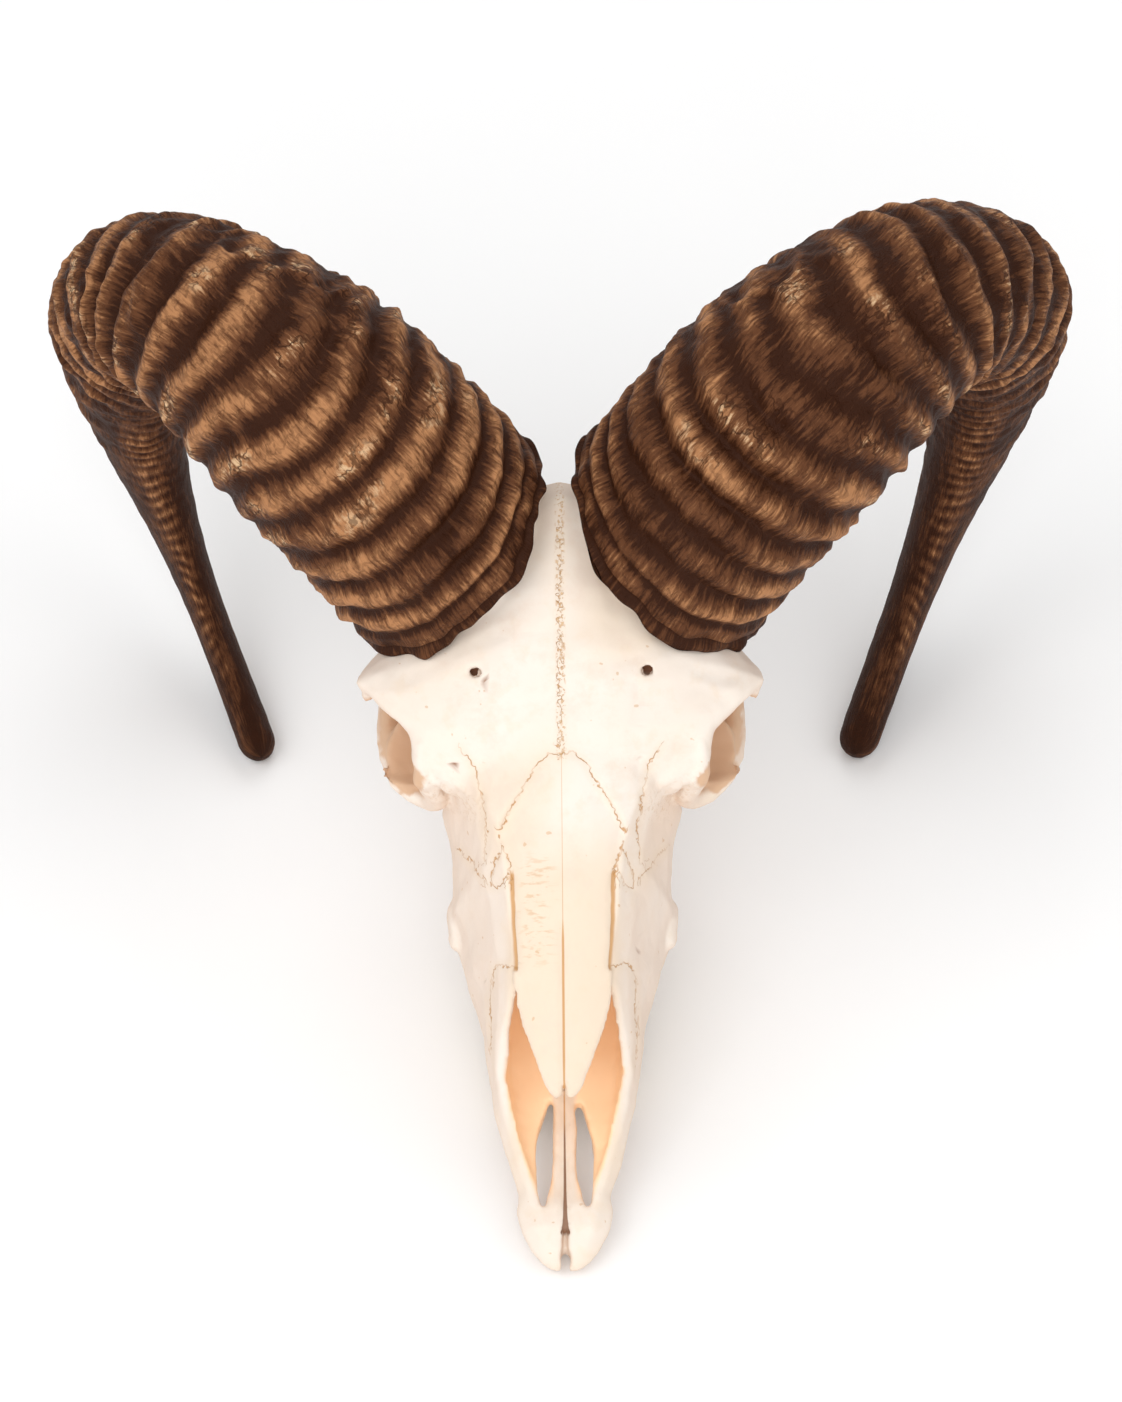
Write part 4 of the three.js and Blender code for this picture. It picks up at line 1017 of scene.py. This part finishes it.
class SkullColours(bpy.types.PropertyGroup):
    """Colours of bone, teeth and horn."""

    pale: colour("Pale Bone", "Bleached bone", (0.88, 0.79, 0.705))
    ivory: colour("Ivory Bone", "Main bone colour", (0.86, 0.755, 0.655))
    warm: colour("Warm Bone", "Warmer patches", (0.82, 0.65, 0.48))
    stain: colour("Stain", "Orange-brown stain in pits", (0.62, 0.36, 0.15))
    seam: colour("Seam", "Lines between the bones", (0.55, 0.285, 0.11))
    # Orange bone seen inside the open slots, with painted shade
    slot: colour("Slot", "Open slots between the nasal bones and beside them", (0.60, 0.31, 0.11))
    # Painted shade deep in the slit between the snout bones
    wedge_shade: colour("Snout Wedge Shade", "Dark brown slit between the snout bones", (0.22, 0.095, 0.04))
    # Painted shade for the sides that face away from the camera; also the colour of the mottling
    shade: colour("Side Shade and Mottle", "Pinker bone on the sides", (0.80, 0.635, 0.52))
    # The nose's tan inside, brightened as painted light for the shadowed cavity
    inner: colour("Nose Inside", "Tan inner walls of the nose", (0.97, 0.69, 0.43))
    glow: colour("Nose Glow", "Light that shines through the thin walls of the nose", (0.92, 0.52, 0.26))
    # Tan of the eye hollows, darkened as painted shade in the recess
    hollow: colour("Eye Hollow", "Tan inside of the eye hollows", (0.69, 0.44, 0.275))
    # Painted shade inside the small holes
    hole_shade: colour("Hole Shade", "Dark brown inside small holes", (0.30, 0.12, 0.05))
    tooth: colour("Tooth", "Tooth enamel", (0.78, 0.68, 0.52))
    tooth_dark: colour("Tooth Stain", "Dark staining on teeth", (0.44, 0.29, 0.16))
    # Horn colours from valley to crest: the horn's own browns, with painted shade in the valleys and a
    # painted highlight on the crests
    horn_dark: colour("Horn Valleys", "Darkest horn", (0.036, 0.010, 0.003))
    horn_brown: colour("Horn Brown", "Main horn colour", (0.122, 0.045, 0.018))
    horn_tan: colour("Horn Crests", "Golden ridge crests", (0.46, 0.215, 0.093))
    horn_cream: colour("Horn Flakes", "Cream flakes on the crests", (0.74, 0.52, 0.31))
    floor: colour("Floor", "Pale floor", (0.98, 0.98, 0.98))


def place_piece(name, mesh, nodes, material):
    """Adds a piece to the scene in place of the nodes that it covers."""
    piece = add_object(name, mesh)
    mesh.materials.clear()
    mesh.materials.append(material)
    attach(piece, "root")
    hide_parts(*nodes)


def add_floor(tone):
    """The plain pale floor."""
    mesh = bpy.data.meshes.new("floor")
    form = bmesh.new()
    bmesh.ops.create_grid(form, x_segments=1, y_segments=1, size=FLOOR_HALF)
    form.to_mesh(mesh)
    form.free()
    floor = add_object("floor", mesh)
    material = bpy.data.materials.new("pale_floor")
    material.use_nodes = True
    shader = material.node_tree.nodes["Principled BSDF"]
    shader.inputs["Base Color"].default_value = (*tone, 1)
    shader.inputs["Roughness"].default_value = 0.9
    shader.inputs["Specular IOR Level"].default_value = 0.1
    mesh.materials.append(material)


def add_camera(scene):
    """The camera, square on to the face plane."""
    out = np.array([VIEW_LEVEL + VIEW_DISTANCE])
    eye = rest(face_to_skull(np.zeros(1), np.array([VIEW_CENTRE]), out))[0]
    back = Vector(face_direction(0.0, 1.0)).normalized()
    up = Vector(face_direction(1.0, 0.0)).normalized()
    right = up.cross(back)
    turn = Matrix((right, up, back)).transposed().to_4x4() @ Matrix.Rotation(VIEW_ROLL, 4, "Z")
    camera = bpy.data.objects.new("camera", bpy.data.cameras.new("camera"))
    scene.collection.objects.link(camera)
    camera.data.sensor_fit = "VERTICAL"
    camera.data.sensor_height = SENSOR_HEIGHT
    camera.data.lens = LENS
    camera.data.clip_end = CLIP_END
    camera.matrix_world = Matrix.Translation(Vector(eye)) @ turn
    scene.camera = camera


def add_lights(scene):
    """An even white surrounding and five soft lamps."""
    world = bpy.data.worlds.new("soft_studio")
    world.use_nodes = True
    world.node_tree.nodes["Background"].inputs["Color"].default_value = (1, 1, 1, 1)
    world.node_tree.nodes["Background"].inputs["Strength"].default_value = WORLD_STRENGTH
    scene.world = world
    for name, place, size, watts in LAMPS:
        lamp = bpy.data.lights.new(name, "AREA")
        lamp.size = size
        lamp.energy = watts
        light = bpy.data.objects.new(name, lamp)
        scene.collection.objects.link(light)
        light.location = place
        light.rotation_euler = (Vector(LAMP_TARGET) - Vector(place)).to_track_quat("-Z", "Y").to_euler()
    scene.view_settings.view_transform = "Standard"


class SKULL_OT_bones(bpy.types.Operator):
    """Adds the skin of dry bone over the cranium, nasal bones, cheeks and snout bones"""

    bl_idname = "skull.bones"
    bl_label = "Bones"

    def execute(self, context):
        sizes, colours = context.scene.skull_sizes, context.scene.skull_colours
        tone = bone_tone(colours)
        material = dressed_material("dry_bone", tone, BONE_ROUGH, sizes.bone_bump, BONE_SPECULAR)
        nodes = [node for node in NODES if not node.startswith("horn")]
        mesh = bone_skin(nodes, sizes.bone_grid, sizes.bone_rounds, sizes.bone_faces)
        place_piece("dry_bones", mesh, nodes, material)
        return {"FINISHED"}


class SKULL_OT_horns(bpy.types.Operator):
    """Adds the two ridged horns"""

    bl_idname = "skull.horns"
    bl_label = "Horns"

    def execute(self, context):
        sizes, colours = context.scene.skull_sizes, context.scene.skull_colours
        tone = horn_tone(colours)
        material = dressed_material("ridged_horn", tone, HORN_ROUGH, sizes.horn_bump, HORN_SPECULAR)
        for label, own in HORNS.items():
            name = "ridged_horn_" + label
            place_piece(name, horn_mesh(name, own), ["horn_" + label], material)
        return {"FINISHED"}


class SKULL_OT_stage(bpy.types.Operator):
    """Adds the floor, the soft lights and the camera"""

    bl_idname = "skull.stage"
    bl_label = "Stage"

    def execute(self, context):
        add_floor(context.scene.skull_colours.floor)
        add_camera(context.scene)
        add_lights(context.scene)
        return {"FINISHED"}


class SKULL_PT_panel(bpy.types.Panel):
    """Lists the skull's building steps"""

    bl_idname = "SKULL_PT_panel"
    bl_label = "Skull"
    bl_space_type = "VIEW_3D"
    bl_region_type = "UI"
    bl_category = "Skull"

    def draw(self, context):
        for name in ("skull.bones", "skull.horns", "skull.stage"):
            self.layout.operator(name)


CLASSES = (SkullSizes, SkullColours, SKULL_OT_bones, SKULL_OT_horns, SKULL_OT_stage, SKULL_PT_panel)


def register():
    for item in CLASSES:
        bpy.utils.register_class(item)
    bpy.types.Scene.skull_sizes = bpy.props.PointerProperty(type=SkullSizes)
    bpy.types.Scene.skull_colours = bpy.props.PointerProperty(type=SkullColours)


def unregister():
    del bpy.types.Scene.skull_colours
    del bpy.types.Scene.skull_sizes
    for item in reversed(CLASSES):
        bpy.utils.unregister_class(item)


def main():
    register()
    bpy.ops.skull.stage()
    bpy.ops.skull.bones()
    bpy.ops.skull.horns()


if __name__ == "__main__":
    main()
